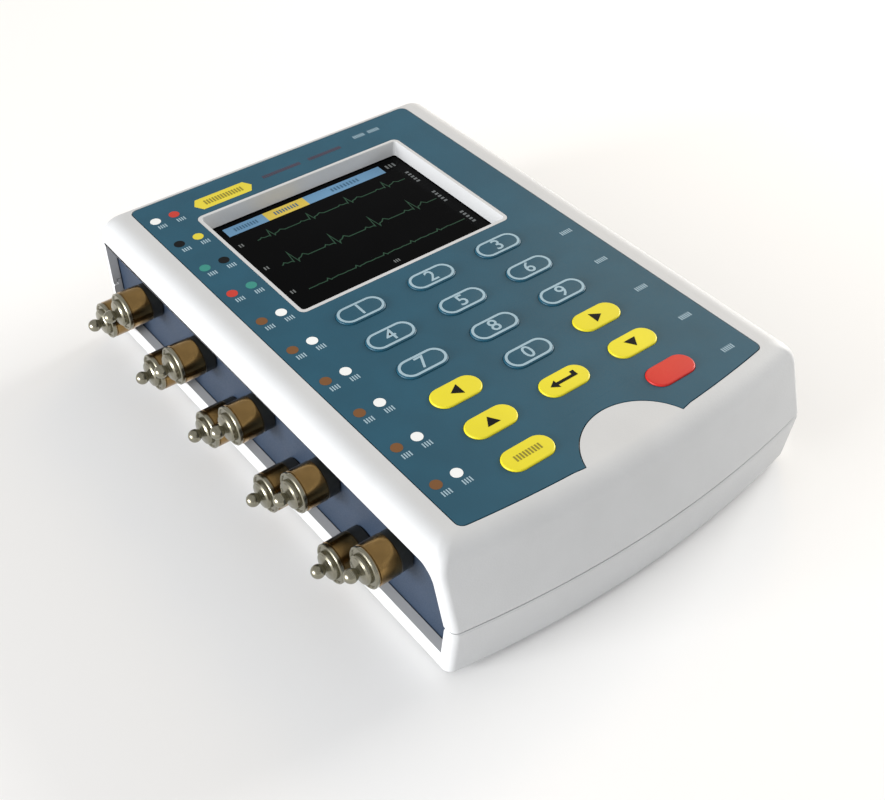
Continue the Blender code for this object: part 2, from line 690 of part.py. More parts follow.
def make_display():
    outline = window_outline(LENS_MARGIN)
    plate("display_window", outline, [], LENS_Z, LENS_Z + LENS_THICK, CLEAR)
    box("lcd_module", (WINDOW_X - LCD_WIDTH / 2, WINDOW_Y - LCD_LENGTH / 2, LCD_Z),
        (WINDOW_X + LCD_WIDTH / 2, WINDOW_Y + LCD_LENGTH / 2, LCD_Z + LCD_THICK), BLACK_PLASTIC, PARTS)
    holes = [circle(place, BRACKET_PIN_RADIUS + BORE_GAP) for place in bracket_pin_places()]
    holes += [rectangle((WINDOW_X, WINDOW_Y), LCD_WIDTH - 20 * MM, LCD_LENGTH - 20 * MM)]
    outline = rectangle((WINDOW_X, WINDOW_Y), BRACKET_WIDTH, BRACKET_LENGTH)
    plate("display_bracket", outline, holes, BRACKET_Z, BRACKET_Z + BRACKET_THICK, STEEL)


def make_display_cable():
    """A flat cable from the front edge of the display module down to the main board."""
    start_y = WINDOW_Y - LCD_LENGTH / 2 - GAP
    high = LCD_Z + LCD_THICK / 2
    low = MAIN_Z + BOARD_THICK + GAP + FLEX_THICK
    quarter = math.pi / 2
    bend_y = start_y - 2 * MM
    path = [(start_y, high)]
    path += arc((bend_y, high - FLEX_BEND), FLEX_BEND, quarter, 2 * quarter, 4)
    path += arc((bend_y, low + FLEX_BEND), FLEX_BEND, 2 * quarter, 3 * quarter, 4)
    path += [(start_y, low)]
    half = FLEX_WIDTH / 2
    mesh = bpy.data.meshes.new("display_cable")
    points = [(WINDOW_X + side * half, y, z) for y, z in path for side in (-1, 1)]
    faces = [(2 * i, 2 * i + 1, 2 * i + 3, 2 * i + 2) for i in range(len(path) - 1)]
    mesh.from_pydata(points, [], faces)
    cable = mesh_object("display_cable", mesh, CIRCUIT_FILM)
    solidify = cable.modifiers.new("thickness", "SOLIDIFY")
    solidify.thickness = FLEX_THICK
    solidify.offset = 0


def make_main_board():
    centre_y = (MAIN_FRONT_Y + MAIN_BACK_Y) / 2
    outline = rectangle((0, centre_y), MAIN_WIDTH, MAIN_BACK_Y - MAIN_FRONT_Y)
    holes = [circle(place, STANDOFF_PIN_RADIUS + BORE_GAP) for place in standoff_places()]
    board = plate("main_board", outline, holes, MAIN_Z, MAIN_Z + BOARD_THICK, BOARD_GREEN)
    face = MAIN_Z + BOARD_THICK
    chips = (
        ("processor", (-6 * MM, 34 * MM), (20 * MM, 20 * MM, 1.6 * MM)),
        ("signal_chip", (20 * MM, 44 * MM), (12 * MM, 10 * MM, 1.8 * MM)),
        ("memory_chip", (-26 * MM, 52 * MM), (8 * MM, 14 * MM, 1.2 * MM)),
        ("lead_connector", (-34 * MM, 24 * MM), (5 * MM, 26 * MM, 6 * MM)),
        ("socket_connector", (34 * MM, 30 * MM), (5 * MM, 22 * MM, 6 * MM)),
        ("tail_connector", (KEYS_X, TAIL_Y), (TAIL_WIDTH + 4 * MM, 4 * MM, 2.5 * MM)),
    )
    for name, (x, y), (width, length, height) in chips:
        add(board, box(name, (x - width / 2, y - length / 2, face - BOARD_THICK / 2),
                       (x + width / 2, y + length / 2, face + height)))
    cylinder("buzzer", (BUZZER_X, BUZZER_Y), BUZZER_RADIUS, face + GAP, face + GAP + BUZZER_HEIGHT,
             BLACK_PLASTIC, PARTS)


def post_profile():
    """From the snap tip down to the shank's end, with height zero at the panel's face."""
    barrel_foot = GAP + POST_NECK_LENGTH
    barrel_top = barrel_foot + POST_BARREL_LENGTH
    tip_top = barrel_top + POST_TIP_LENGTH
    bevel = 1.0 * MM
    waist = POST_TIP_RADIUS - 0.5 * MM
    shank_end = -(PANEL_THICK + GAP + BOARD_THICK + 1.5 * MM)
    return [
        (0, tip_top), (POST_TIP_RADIUS * 0.6, tip_top), (POST_TIP_RADIUS, tip_top - bevel),
        (waist, tip_top - 2.6 * bevel), (POST_RADIUS * 0.62, barrel_top + bevel),
        (POST_RADIUS * 0.66, barrel_top), (POST_RADIUS * 0.9, barrel_top),
        (POST_RADIUS, barrel_top - bevel), (POST_RADIUS, barrel_foot + bevel),
        (POST_RADIUS - bevel, barrel_foot), (POST_NECK_RADIUS, barrel_foot), (POST_NECK_RADIUS, GAP),
        (POST_SHANK_RADIUS, GAP), (POST_SHANK_RADIUS, shank_end), (0, shank_end),
    ]


def make_left_side():
    places = list(post_places())
    holes = [circle(place, POST_SHANK_RADIUS + BORE_GAP) for place in places]
    outline = opening_outline(PANEL_LAP)
    plate("left_side_panel", outline, holes, -PANEL_FACE_X, -PANEL_BACK_X, PANEL_PLASTIC, upright=True)
    board_face = -PANEL_BACK_X + GAP
    margin = 4.5 * MM
    low_y, high_y = places[-1][0] - margin, places[0][0] + margin
    low_z, high_z = POST_LOW_Z - margin, POST_HIGH_Z + margin
    board = rectangle(((low_y + high_y) / 2, (low_z + high_z) / 2), high_y - low_y, high_z - low_z)
    plate("lead_board", board, holes, board_face, board_face + BOARD_THICK, BOARD_GREEN, upright=True)
    mesh = turned_mesh(post_profile(), NICKEL)
    for i, (y, z) in enumerate(places):
        turned(f"lead_post_{i + 1}", mesh, (-PANEL_FACE_X, y, z), (0, -math.pi / 2, 0))


def socket_profile():
    """From the flange's face down to the rear, with height zero at the panel's face."""
    top = GAP + SOCKET_FLANGE_THICK
    groove = top - SOCKET_GROOVE_DEPTH
    bevel = 0.4 * MM
    foot = -(SOCKET_DEPTH - GAP)
    return [
        (0, top - bevel), (SOCKET_GROOVE_INNER, top - bevel), (SOCKET_GROOVE_INNER, groove),
        (SOCKET_GROOVE_OUTER, groove), (SOCKET_GROOVE_OUTER, top), (SOCKET_FLANGE_RADIUS - bevel, top),
        (SOCKET_FLANGE_RADIUS, top - bevel), (SOCKET_FLANGE_RADIUS, GAP), (SOCKET_RADIUS, GAP),
        (SOCKET_RADIUS, foot), (0, foot),
    ]


def make_right_side():
    sockets = list(socket_places())
    usb, jack = (USB_Y, SOCKET_Z), (JACK_Y, SOCKET_Z)
    holes = [circle(place, SOCKET_RADIUS + BORE_GAP) for place in sockets]
    holes += [rectangle(usb, USB_WIDTH + 2 * GAP, USB_HEIGHT + 2 * GAP), circle(jack, JACK_RADIUS + BORE_GAP)]
    outline = opening_outline(PANEL_LAP)
    plate("right_side_panel", outline, holes, PANEL_BACK_X, PANEL_FACE_X, PANEL_PLASTIC, upright=True)
    board_face = PANEL_FACE_X - SOCKET_DEPTH
    low_y, high_y = sockets[-1][0] - SOCKET_RADIUS, JACK_Y + JACK_RADIUS
    low_z, high_z = OPENING_SILL_Z + 2 * MM, OPENING_TOP_Z - 4 * MM
    board = rectangle(((low_y + high_y) / 2, (low_z + high_z) / 2), high_y - low_y, high_z - low_z)
    plate("socket_board", board, [], board_face - BOARD_THICK, board_face, BOARD_GREEN, upright=True)
    mesh = turned_mesh(socket_profile(), BLACK_PLASTIC)
    for i, (y, z) in enumerate(sockets):
        turned(f"round_socket_{i + 1}", mesh, (PANEL_FACE_X, y, z), (0, math.pi / 2, 0))
    make_usb_socket(board_face)
    make_power_jack(board_face)


def make_usb_socket(board_face):
    mouth_x = PANEL_FACE_X + CONNECTOR_PROUD
    low_z, high_z = SOCKET_Z - USB_HEIGHT / 2, SOCKET_Z + USB_HEIGHT / 2
    shell = box("usb_socket", (board_face + GAP, USB_Y - USB_WIDTH / 2, low_z),
                (mouth_x, USB_Y + USB_WIDTH / 2, high_z), STEEL, PARTS)
    margin = USB_MOUTH_MARGIN
    cut(shell, box("usb_mouth", (mouth_x - USB_MOUTH_DEPTH, USB_Y - USB_WIDTH / 2 + margin, low_z + margin),
                   (mouth_x + OVERSHOOT, USB_Y + USB_WIDTH / 2 - margin, high_z - margin)))
    add(shell, box("usb_tongue", (mouth_x - USB_MOUTH_DEPTH - margin, USB_Y - USB_WIDTH / 4, SOCKET_Z - margin / 2),
                   (mouth_x - margin, USB_Y + USB_WIDTH / 4, SOCKET_Z + margin / 2)))


def make_power_jack(board_face):
    top = CONNECTOR_PROUD
    floor = top - JACK_BORE_DEPTH
    foot = board_face + GAP - PANEL_FACE_X
    profile = [
        (0, top - 1 * MM), (JACK_PIN_RADIUS, top - 1 * MM), (JACK_PIN_RADIUS, floor), (JACK_BORE_RADIUS, floor),
        (JACK_BORE_RADIUS, top), (JACK_RADIUS, top), (JACK_RADIUS, foot), (0, foot),
    ]
    turned("power_jack", turned_mesh(profile, BLACK_PLASTIC), (PANEL_FACE_X, JACK_Y, SOCKET_Z), (0, math.pi / 2, 0))


def make_battery():
    low_z = COVER_THICK + GAP
    half = BATTERY_LENGTH / 2
    pack = box("battery_pack", (-half, BATTERY_Y - BATTERY_WIDTH / 2, low_z + TAB_REACH),
               (half, BATTERY_Y + BATTERY_WIDTH / 2, low_z + TAB_REACH + BATTERY_HEIGHT), BATTERY_WRAP, PARTS)
    bevel = pack.modifiers.new("edges", "BEVEL")
    bevel.width = 4 * MM
    bevel.segments = 2
    bevel.limit_method = "ANGLE"


def make_battery_cover():
    """A plate held by two tabs that reach over the floor at its front and by one screw at its back."""
    low, high = (-BAY_HALF_X + GAP, BAY_FRONT_Y + GAP), (BAY_HALF_X - GAP, BAY_BACK_Y - GAP)
    cover = box("battery_cover", (*low, 0), (*high, COVER_THICK), CASE_PLASTIC, PARTS)
    tab_z = FLOOR + GAP
    for side in (-1, 1):
        left, right = side * TAB_X - TAB_WIDTH / 2, side * TAB_X + TAB_WIDTH / 2
        add(cover, box(f"tab_riser_{side + 1}", (left, low[1], COVER_THICK / 2),
                       (right, low[1] + 2 * MM, tab_z + 1.2 * MM)))
        add(cover, box(f"tab_{side + 1}", (left, low[1] - TAB_REACH, tab_z),
                       (right, low[1] + 1 * MM, tab_z + 1.2 * MM)))
    for side in (-1, 1):
        rail = side * (BATTERY_LENGTH / 2 - 6 * MM)
        add(cover, box(f"cover_rib_{side + 1}", (rail - 1 * MM, BATTERY_Y - 12 * MM, COVER_THICK / 2),
                       (rail + 1 * MM, BATTERY_Y + 12 * MM, COVER_THICK + TAB_REACH)))
    screw_y = BAY_BACK_Y - COVER_SCREW_INSET
    seat = COVER_SCREW_HEAD_THICK + 2 * GAP - GAP / 2
    cut(cover, cylinder("cover_head_bore", (0, screw_y), COVER_SCREW_HEAD_RADIUS + BORE_GAP, -OVERSHOOT, seat))
    cut(cover, cylinder("cover_screw_bore", (0, screw_y), COVER_SCREW_RADIUS + BORE_GAP, 0, COVER_THICK + OVERSHOOT))
    make_screw("battery_cover_screw", (0, screw_y), seat - GAP, COVER_SCREW_HEAD_RADIUS,
               COVER_SCREW_HEAD_THICK, COVER_SCREW_RADIUS, COVER_SCREW_LENGTH)


def make_screw(name, place, seat_z, head_radius, head_thick, radius, length):
    """A pan-head screw that points up, with a cross recess in its head."""
    bevel = 0.3 * MM
    profile = [(0, length), (radius * 0.5, length), (radius, length - 2 * bevel), (radius, 0), (head_radius, 0),
               (head_radius, bevel - head_thick), (head_radius - bevel, -head_thick), (0, -head_thick)]
    screw = turned(name, turned_mesh(profile, STEEL), (*place, seat_z), steps=10)
    reach = head_radius * 0.6
    depth = head_thick * 0.5
    for turn, (half_x, half_y) in enumerate(((reach, DRIVER_SLOT / 2), (DRIVER_SLOT / 2, reach))):
        low = (place[0] - half_x, place[1] - half_y, seat_z - head_thick - OVERSHOOT)
        cut(screw, box(f"{name}_slot_{turn}", low, (place[0] + half_x, place[1] + half_y, seat_z - head_thick + depth)))


def make_case_screws():
    for i, place in enumerate(boss_places()):
        make_screw(f"case_screw_{i + 1}", place, SCREW_SEAT_Z - GAP, SCREW_HEAD_RADIUS, SCREW_HEAD_THICK,
                   SCREW_RADIUS, SCREW_LENGTH)


make_top_case()
make_bottom_case()
make_feet()
make_keypad()
make_keys()
make_display()
make_display_cable()
make_main_board()
make_left_side()
make_right_side()
make_battery()
make_battery_cover()
make_case_screws()

for part in PARTS.objects:
    if part.type == "MESH" and not part.modifiers:
        part.data.shade_smooth()
        part.data.set_sharp_from_angle(angle=math.radians(35))
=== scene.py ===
"""Looks for a handheld patient simulator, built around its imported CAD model.

Everything is in metres in the CAD model's own frame: +X is to the right of someone reading the display,
+Y points to the display end and +Z points up out of the keypad. Places come from the CAD nodes' boxes,
and the case repeats the CAD model's form with finer steps and softened edges.
"""

import json
import math

import bmesh
import bpy
from mathutils import Matrix, Quaternion, Vector

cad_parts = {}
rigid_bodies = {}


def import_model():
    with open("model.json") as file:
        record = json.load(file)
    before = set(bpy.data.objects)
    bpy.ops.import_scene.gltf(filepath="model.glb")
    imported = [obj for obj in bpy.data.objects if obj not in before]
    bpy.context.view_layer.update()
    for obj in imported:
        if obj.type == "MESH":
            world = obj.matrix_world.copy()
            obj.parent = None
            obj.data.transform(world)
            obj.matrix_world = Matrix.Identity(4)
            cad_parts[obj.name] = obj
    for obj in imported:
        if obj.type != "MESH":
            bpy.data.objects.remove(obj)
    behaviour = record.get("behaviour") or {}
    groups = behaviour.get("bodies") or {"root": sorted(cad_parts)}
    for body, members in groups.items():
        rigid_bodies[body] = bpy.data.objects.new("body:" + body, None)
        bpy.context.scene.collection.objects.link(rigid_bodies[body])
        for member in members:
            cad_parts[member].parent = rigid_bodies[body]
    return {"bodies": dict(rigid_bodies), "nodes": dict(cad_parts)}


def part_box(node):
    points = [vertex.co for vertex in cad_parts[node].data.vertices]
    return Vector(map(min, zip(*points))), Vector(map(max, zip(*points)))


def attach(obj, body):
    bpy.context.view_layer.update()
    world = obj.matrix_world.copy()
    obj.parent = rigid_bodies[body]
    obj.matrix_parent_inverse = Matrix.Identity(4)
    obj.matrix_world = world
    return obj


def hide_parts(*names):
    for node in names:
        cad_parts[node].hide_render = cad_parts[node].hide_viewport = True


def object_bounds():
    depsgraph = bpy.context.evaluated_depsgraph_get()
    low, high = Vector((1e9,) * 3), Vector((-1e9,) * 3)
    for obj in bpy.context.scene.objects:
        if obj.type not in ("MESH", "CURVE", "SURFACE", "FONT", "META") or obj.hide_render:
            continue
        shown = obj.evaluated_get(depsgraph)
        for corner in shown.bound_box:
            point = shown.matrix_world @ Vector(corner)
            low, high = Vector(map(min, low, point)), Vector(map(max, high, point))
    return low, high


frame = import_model()
cad_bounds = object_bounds()

MM = 0.001
QUARTER = math.pi / 2

# Camera
CAMERA_PLACE = Vector((-168.05, -212.20, 249.10)) * MM
CAMERA_TARGET = Vector((-28.12, -36.74, 40.0)) * MM
CAMERA_ROLL = math.radians(0.47)
CAMERA_LENS = 49.69       # this and the sensor's width in millimetres
CAMERA_SENSOR = 36.0
CAMERA_NEAR = 0.01

# The case's form, as in the CAD model
GAP = 0.3 * MM
WALL = 2.7 * MM
FLOOR = 2.5 * MM
SIDE_ROUND = 7 * MM
BACK_ROUND = 3 * MM
FOOT_ROUND = 2 * MM
FRONT_CORNER = 2.5 * MM
FRONT_BOW = 330 * MM
FRONT_DRAFT = math.radians(6)
FRONT_LEAN = math.radians(18)
FRONT_SHOULDER = 7 * MM
LEAST_CORNER = 1 * MM
LIP_HEIGHT = 1.5 * MM
DECK_THICK = 2.6 * MM
WINDOW_CORNER = 1.0 * MM
WINDOW_TAPER = 0.5 * MM
WINDOW_RIM = 1.1 * MM
LENS_MARGIN = 4.0 * MM
OPENING_MARGIN = 0.3 * MM
OPENING_ROUND = 6 * MM
PANEL_LAP = 0.7 * MM
OVERLAY_FRONT = -76.0 * MM
OVERLAY_BOW = 350 * MM
OVERLAY_CORNER = 2 * MM
NOTCH_Y = -81.4 * MM
NOTCH_RADIUS = 17.5 * MM
BOSS_RADIUS = 4.2 * MM
SCREW_BORE_RADIUS = 1.7 * MM
HEAD_BORE_RADIUS = 3.05 * MM
SCREW_SEAT_Z = 6 * MM
FOOT_POCKET = 1.3 * MM

# What is finer here than in the CAD model
CORNER_STEPS = 10         # steps along each rounded corner of the case
BOW_STEPS = 24            # along the bowed front
ROUND_DEGREES = 7.5       # between the rings of the rounded top and foot
TURN_STEPS = 64           # around a turned piece
CIRCLE_STEPS = 32
STADIUM_STEPS = 14        # around each end of a key
NOTCH_STEPS = 40
KEYPAD_BOW_STEPS = 10     # on each side of the notch
KEYPAD_CORNER_STEPS = 6
WINDOW_CORNER_STEPS = 5
EDGE_SOFT = 0.25 * MM     # softened edges of the case
SHELL_BEND = 42           # degrees, the least bend that counts as an edge of the case
SEAM_DRAFT = 0.35 * MM    # how far the walls draw in beside the parting line
SEAM_REACH = 0.45 * MM
LEAST_STEP = 0.02 * MM    # between two rings of the case
FILM_GAP = 0.12 * MM      # between a key and the film around it
FILM_SOFT = 0.10 * MM
PRINT_THICK = 0.03 * MM
PRINT_LIFT = 0.01 * MM
OVERSHOOT = 1 * MM        # how far a cutter reaches past what it cuts
WELD = 0.0005 * MM        # points nearer than this are one
ACROSS_X = Matrix(((0, 0, 1, 0), (1, 0, 0, 0), (0, 1, 0, 0), (0, 0, 0, 1)))  # stands (y, z) outlines across X

# Keys
KEY_ROUND = 0.45 * MM
KEY_ROUND_STEPS = 6
KEY_LINE_OUTER = 0.40 * MM    # from a blue key's edge to its pale line
KEY_LINE_INNER = 1.15 * MM
DIGIT_SIZE = 6.5 * MM
DIGIT_WEIGHT = 0.05 * MM      # how much bolder than the plain font
DIGIT_STEPS = 3               # along each curve of a digit

# Battery cover and feet
GRIP_COUNT = 3
GRIP_LENGTH = 26 * MM
GRIP_WIDTH = 1.2 * MM
GRIP_PITCH = 3 * MM
GRIP_SETBACK = 9 * MM         # from the cover's back edge to the first ridge
GRIP_PROUD = 0.45 * MM
GRIP_SUNK = 0.05 * MM
GRIP_SOFT = 0.15 * MM
COVER_TAB_Z = 0.5 * MM        # the cover's tabs are all above this level
FOOT_EDGE = 0.8 * MM
FOOT_EDGE_STEPS = 6
FOOT_DISH = 0.25 * MM         # the hollow in a foot's face
FOOT_DISH_RIM = 0.55          # its outer and inner radius, as shares of the foot's
FOOT_DISH_FLAT = 0.5


def box_of(*nodes):
    """The lowest and highest corners around some CAD nodes."""
    boxes = [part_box(node) for node in nodes]
    low = Vector([min(box[0][axis] for box in boxes) for axis in range(3)])
    high = Vector([max(box[1][axis] for box in boxes) for axis in range(3)])
    return low, high


def centre_of(node):
    low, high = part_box(node)
    return [(a + b) / 2 for a, b in zip(low, high)]


CASE_LOW, CASE_HIGH = box_of("bottom_case", "top_case")
CASE_WIDTH = CASE_HIGH.x - CASE_LOW.x
CASE_HEIGHT = CASE_HIGH.z
PARTING_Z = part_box("top_case")[0].z - GAP / 2
OVERLAY_LOW, OVERLAY_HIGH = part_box("keypad_overlay")
LENS_LOW, LENS_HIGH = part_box("display_window")
DECK_UNDER_Z = LENS_HIGH.z + GAP
DECK_TOP_Z = DECK_UNDER_Z + DECK_THICK
WINDOW_CENTRE = centre_of("display_window")[:2]
WINDOW_WIDTH = LENS_HIGH.x - LENS_LOW.x - 2 * LENS_MARGIN
WINDOW_LENGTH = LENS_HIGH.y - LENS_LOW.y - 2 * LENS_MARGIN
PANEL_LOW, PANEL_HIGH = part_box("left_side_panel")
OPENING_SILL_Z = PANEL_LOW.z + PANEL_LAP
OPENING_TOP_Z = PANEL_HIGH.z - PANEL_LAP
OPENING_BACK_Y = PANEL_HIGH.y - PANEL_LAP
PANEL_FACE_X = -PANEL_LOW.x
KEY_NAMES = [name for name in frame["bodies"] if name.startswith("key_")]
CASE_SCREWS = [f"case_screw_{i}" for i in range(1, 5)]
FEET = [f"foot_{i}" for i in range(1, 5)]
LEAD_POSTS = [f"lead_post_{i}" for i in range(1, 11)]
ROUND_SOCKETS = [f"round_socket_{i}" for i in range(1, 6)]
KEYS_X = centre_of("key_enter")[0]


# Materials

NOISE_DETAIL = 3.0
NOISE_MIDDLE = (0.3, 0.7)     # the range that holds most of a noise
ROUGHNESS_DRIFT = 0.15


def noise(tree, size, stretch=(1, 1, 1)):
    """A noise whose features are about as large as size, in the piece's own space."""
    coordinates = tree.nodes.new("ShaderNodeTexCoord")
    mapping = tree.nodes.new("ShaderNodeMapping")
    mapping.inputs["Scale"].default_value = [1 / (size * s) if s else 0.0 for s in stretch]
    texture = tree.nodes.new("ShaderNodeTexNoise")
    texture.inputs["Scale"].default_value = 1.0
    texture.inputs["Detail"].default_value = NOISE_DETAIL
    tree.links.new(coordinates.outputs["Object"], mapping.inputs["Vector"])
    tree.links.new(mapping.outputs["Vector"], texture.inputs["Vector"])
    return texture.outputs["Fac"]


def remap(tree, value, low, high):
    """A noise's middle range spread between two values."""
    spread = tree.nodes.new("ShaderNodeMapRange")
    names = ("From Min", "From Max", "To Min", "To Max")
    for name, number in zip(names, (*NOISE_MIDDLE, low, high)):
        spread.inputs[name].default_value = number
    tree.links.new(value, spread.inputs["Value"])
    return spread.outputs["Result"]


def shades(tree, value, color, tint):
    """The colour, darker where the noise is low and lighter where it is high."""
    ramp = tree.nodes.new("ShaderNodeValToRGB")
    for element, position, factor in zip(ramp.color_ramp.elements, NOISE_MIDDLE, (1 - tint, 1 + tint)):
        element.position = position
        element.color = (*[min(c * factor, 1.0) for c in color], 1.0)
    tree.links.new(value, ramp.inputs["Fac"])
    return ramp.outputs["Color"]


def surface(name, color, roughness, metallic=0.0, grain=0.4 * MM, relief=0.01 * MM, tint=0.04, patch=12 * MM,
            stretch=(1, 1, 1), gloss=0.5, glow=0.0):
    """A moulded, printed or turned surface: a bumped grain, with shade and gloss that drift slowly."""
    material = bpy.data.materials.new(name)
    material.use_nodes = True
    material.diffuse_color = (*color, 1.0)
    tree = material.node_tree
    shader = tree.nodes["Principled BSDF"]
    shader.inputs["Metallic"].default_value = metallic
    shader.inputs["Specular IOR Level"].default_value = gloss
    fine = noise(tree, grain, stretch)
    slow = noise(tree, patch)
    tree.links.new(shades(tree, slow, color, tint), shader.inputs["Base Color"])
    drift = remap(tree, fine, roughness * (1 - ROUGHNESS_DRIFT), roughness * (1 + ROUGHNESS_DRIFT))
    tree.links.new(drift, shader.inputs["Roughness"])
    if glow:
        shader.inputs["Emission Color"].default_value = (*color, 1.0)
        shader.inputs["Emission Strength"].default_value = glow
    bump = tree.nodes.new("ShaderNodeBump")
    bump.inputs["Strength"].default_value = 1.0
    bump.inputs["Distance"].default_value = relief
    tree.links.new(fine, bump.inputs["Height"])
    tree.links.new(bump.outputs["Normal"], shader.inputs["Normal"])
    return material


CASE_PLASTIC = surface("case_plastic", (0.60, 0.61, 0.62), 0.5, grain=0.55 * MM, relief=0.03 * MM, tint=0.02)
FILM_BLUE = surface("film_blue", (0.011, 0.081, 0.133), 0.42, grain=0.35 * MM, relief=0.008 * MM, tint=0.07,
                    gloss=0.3)
KEY_YELLOW = surface("key_yellow", (0.78, 0.68, 0.020), 0.42, grain=0.35 * MM, relief=0.006 * MM, gloss=0.4)
KEY_RED = surface("key_red", (0.60, 0.022, 0.015), 0.42, grain=0.35 * MM, relief=0.006 * MM, gloss=0.4)
PANEL_BLUE = surface("panel_blue", (0.020, 0.036, 0.066), 0.55, grain=0.3 * MM, relief=0.015 * MM, tint=0.10,
                     gloss=0.4)
BARREL_METAL = surface("barrel_metal", (0.29, 0.18, 0.066), 0.22, metallic=1.0, grain=0.12 * MM,
                       relief=0.002 * MM, tint=0.12, stretch=(0, 0, 1), patch=3 * MM)
TIP_METAL = surface("tip_metal", (0.30, 0.285, 0.22), 0.26, metallic=1.0, grain=0.12 * MM,
                    relief=0.002 * MM, tint=0.08, stretch=(0, 0, 1), patch=3 * MM)
STEEL = surface("steel", (0.56, 0.56, 0.57), 0.34, metallic=1.0, grain=0.2 * MM, relief=0.003 * MM)
BRASS = surface("brass", (0.72, 0.50, 0.20), 0.25, metallic=1.0, grain=0.1 * MM, relief=0.002 * MM)
# The posts' collars are painted near-black as the shade that falls on each barrel's foot beside the side
# panel.
COLLAR_PAINTED_SHADE = surface("collar_painted_shade", (0.016, 0.017, 0.015), 0.42, grain=0.25 * MM, relief=0.008 * MM,
                       tint=0.2)
SOCKET_BLACK = surface("socket_black", (0.020, 0.020, 0.022), 0.45, grain=0.25 * MM, relief=0.008 * MM,
                       tint=0.2)
LENS_BLACK = surface("lens_black", (0.0010, 0.0011, 0.0013), 0.16, grain=2 * MM, relief=0.0005 * MM, tint=0.2,
                     gloss=0.03)
DISPLAY_BLACK = surface("display_black", (0.01, 0.01, 0.012), 0.3)
BOARD_GREEN = surface("board_green", (0.012, 0.13, 0.045), 0.4, grain=0.6 * MM, relief=0.01 * MM, tint=0.12)
CIRCUIT_FILM = surface("circuit_film", (0.42, 0.43, 0.40), 0.4, grain=0.8 * MM, relief=0.01 * MM)
BATTERY_WRAP = surface("battery_wrap", (0.035, 0.10, 0.32), 0.3, grain=3 * MM, relief=0.05 * MM)
RUBBER = surface("rubber", (0.020, 0.020, 0.020), 0.75, grain=0.3 * MM, relief=0.02 * MM, tint=0.15)


def ink(colour_name, color, gloss=0.3):
    return surface(f"print_{colour_name}", color, 0.5, gloss=gloss)


PRINT_PALE = ink("pale", (0.34, 0.48, 0.56))
PRINT_WHITE = ink("white", (0.88, 0.90, 0.90))
PRINT_BLACK = ink("black", (0.003, 0.004, 0.005), gloss=0.12)
PRINT_BROWN = ink("brown", (0.18, 0.075, 0.022))
PRINT_RED = ink("red", (0.55, 0.040, 0.025))
PRINT_TEAL = ink("teal", (0.035, 0.26, 0.22))
PRINT_YELLOW = ink("yellow", (0.74, 0.62, 0.045))
PRINT_OLIVE = ink("olive", (0.26, 0.22, 0.02))
PRINT_MAROON = ink("maroon", (0.085, 0.030, 0.050))


def lit(colour_name, color, glow, gloss):
    return surface(f"screen_{colour_name}", color, 0.3, glow=glow, gloss=gloss)


SCREEN_BLUE = lit("blue", (0.12, 0.25, 0.40), 0.25, 0.2)
SCREEN_YELLOW = lit("yellow", (0.58, 0.44, 0.07), 0.20, 0.2)
SCREEN_GREEN = lit("green", (0.016, 0.046, 0.027), 0.40, 0.1)
SCREEN_GREY = lit("grey", (0.13, 0.14, 0.14), 0.25, 0.2)
SCREEN_NAVY = lit("navy", (0.05, 0.12, 0.20), 0.20, 0.1)

CAD_MATERIALS = {
    "left_side_panel": PANEL_BLUE, "right_side_panel": PANEL_BLUE, "battery_cover": CASE_PLASTIC,
    "keypad_circuit": CIRCUIT_FILM, "display_cable": CIRCUIT_FILM, "lcd_module": DISPLAY_BLACK,
    "display_window": LENS_BLACK, "display_bracket": STEEL, "main_board": BOARD_GREEN,
    "lead_board": BOARD_GREEN, "socket_board": BOARD_GREEN, "buzzer": SOCKET_BLACK, "usb_socket": STEEL,
    "battery_pack": BATTERY_WRAP, "battery_cover_screw": STEEL,
    **{name: STEEL for name in CASE_SCREWS},
}


def dress_cad_nodes():
    for name, material in CAD_MATERIALS.items():
        mesh = frame["nodes"][name].data
        mesh.materials.clear()
        mesh.materials.append(material)


# Outlines, as lists of points in a plane

def arc(centre, radius, start, end, steps):
    """Points from one angle to another, both included."""
    angles = [start + (end - start) * i / steps for i in range(steps + 1)]
    return [(centre[0] + radius * math.cos(a), centre[1] + radius * math.sin(a)) for a in angles]


def circle(centre, radius, steps=CIRCLE_STEPS):
    return arc(centre, radius, 0, 2 * math.pi, steps)[:-1]


def rectangle(centre, width, length):
    (x, y), half_x, half_y = centre, width / 2, length / 2
    return [(x - half_x, y - half_y), (x + half_x, y - half_y),
            (x + half_x, y + half_y), (x - half_x, y + half_y)]


def stadium(centre, length, width):
    """A slot shape that is longest along X."""
    reach = (length - width) / 2
    right = arc((centre[0] + reach, centre[1]), width / 2, -QUARTER, QUARTER, STADIUM_STEPS)
    left = arc((centre[0] - reach, centre[1]), width / 2, QUARTER, 3 * QUARTER, STADIUM_STEPS)
    return right + left


def rounded(points, radii, steps):
    """The polygon with an arc in place of each corner whose radius isn't zero."""
    outline = []
    for i, radius in enumerate(radii):
        corner = Vector(points[i])
        if not radius:
            outline.append(tuple(corner))
            continue
        before = (Vector(points[i - 1]) - corner).normalized()
        after = (Vector(points[(i + 1) % len(points)]) - corner).normalized()
        half_angle = before.angle(after) / 2
        centre = corner + (before + after).normalized() * radius / math.sin(half_angle)
        first = corner + before * radius / math.tan(half_angle) - centre
        sweep = first.angle_signed(corner + after * radius / math.tan(half_angle) - centre)
        for step in range(steps + 1):
            outline.append(tuple(centre + Matrix.Rotation(-sweep * step / steps, 2) @ first))
    return outline


# Pieces

def new_piece(name, mesh, material, replaced=()):
    """A piece in the scene, which may stand for some CAD nodes. It rides on a body once it is in place."""
    piece = bpy.data.objects.new(name, mesh)
    bpy.context.scene.collection.objects.link(piece)
    if not mesh.materials:
        mesh.materials.append(material)
    if replaced:
        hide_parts(*replaced)
    return piece


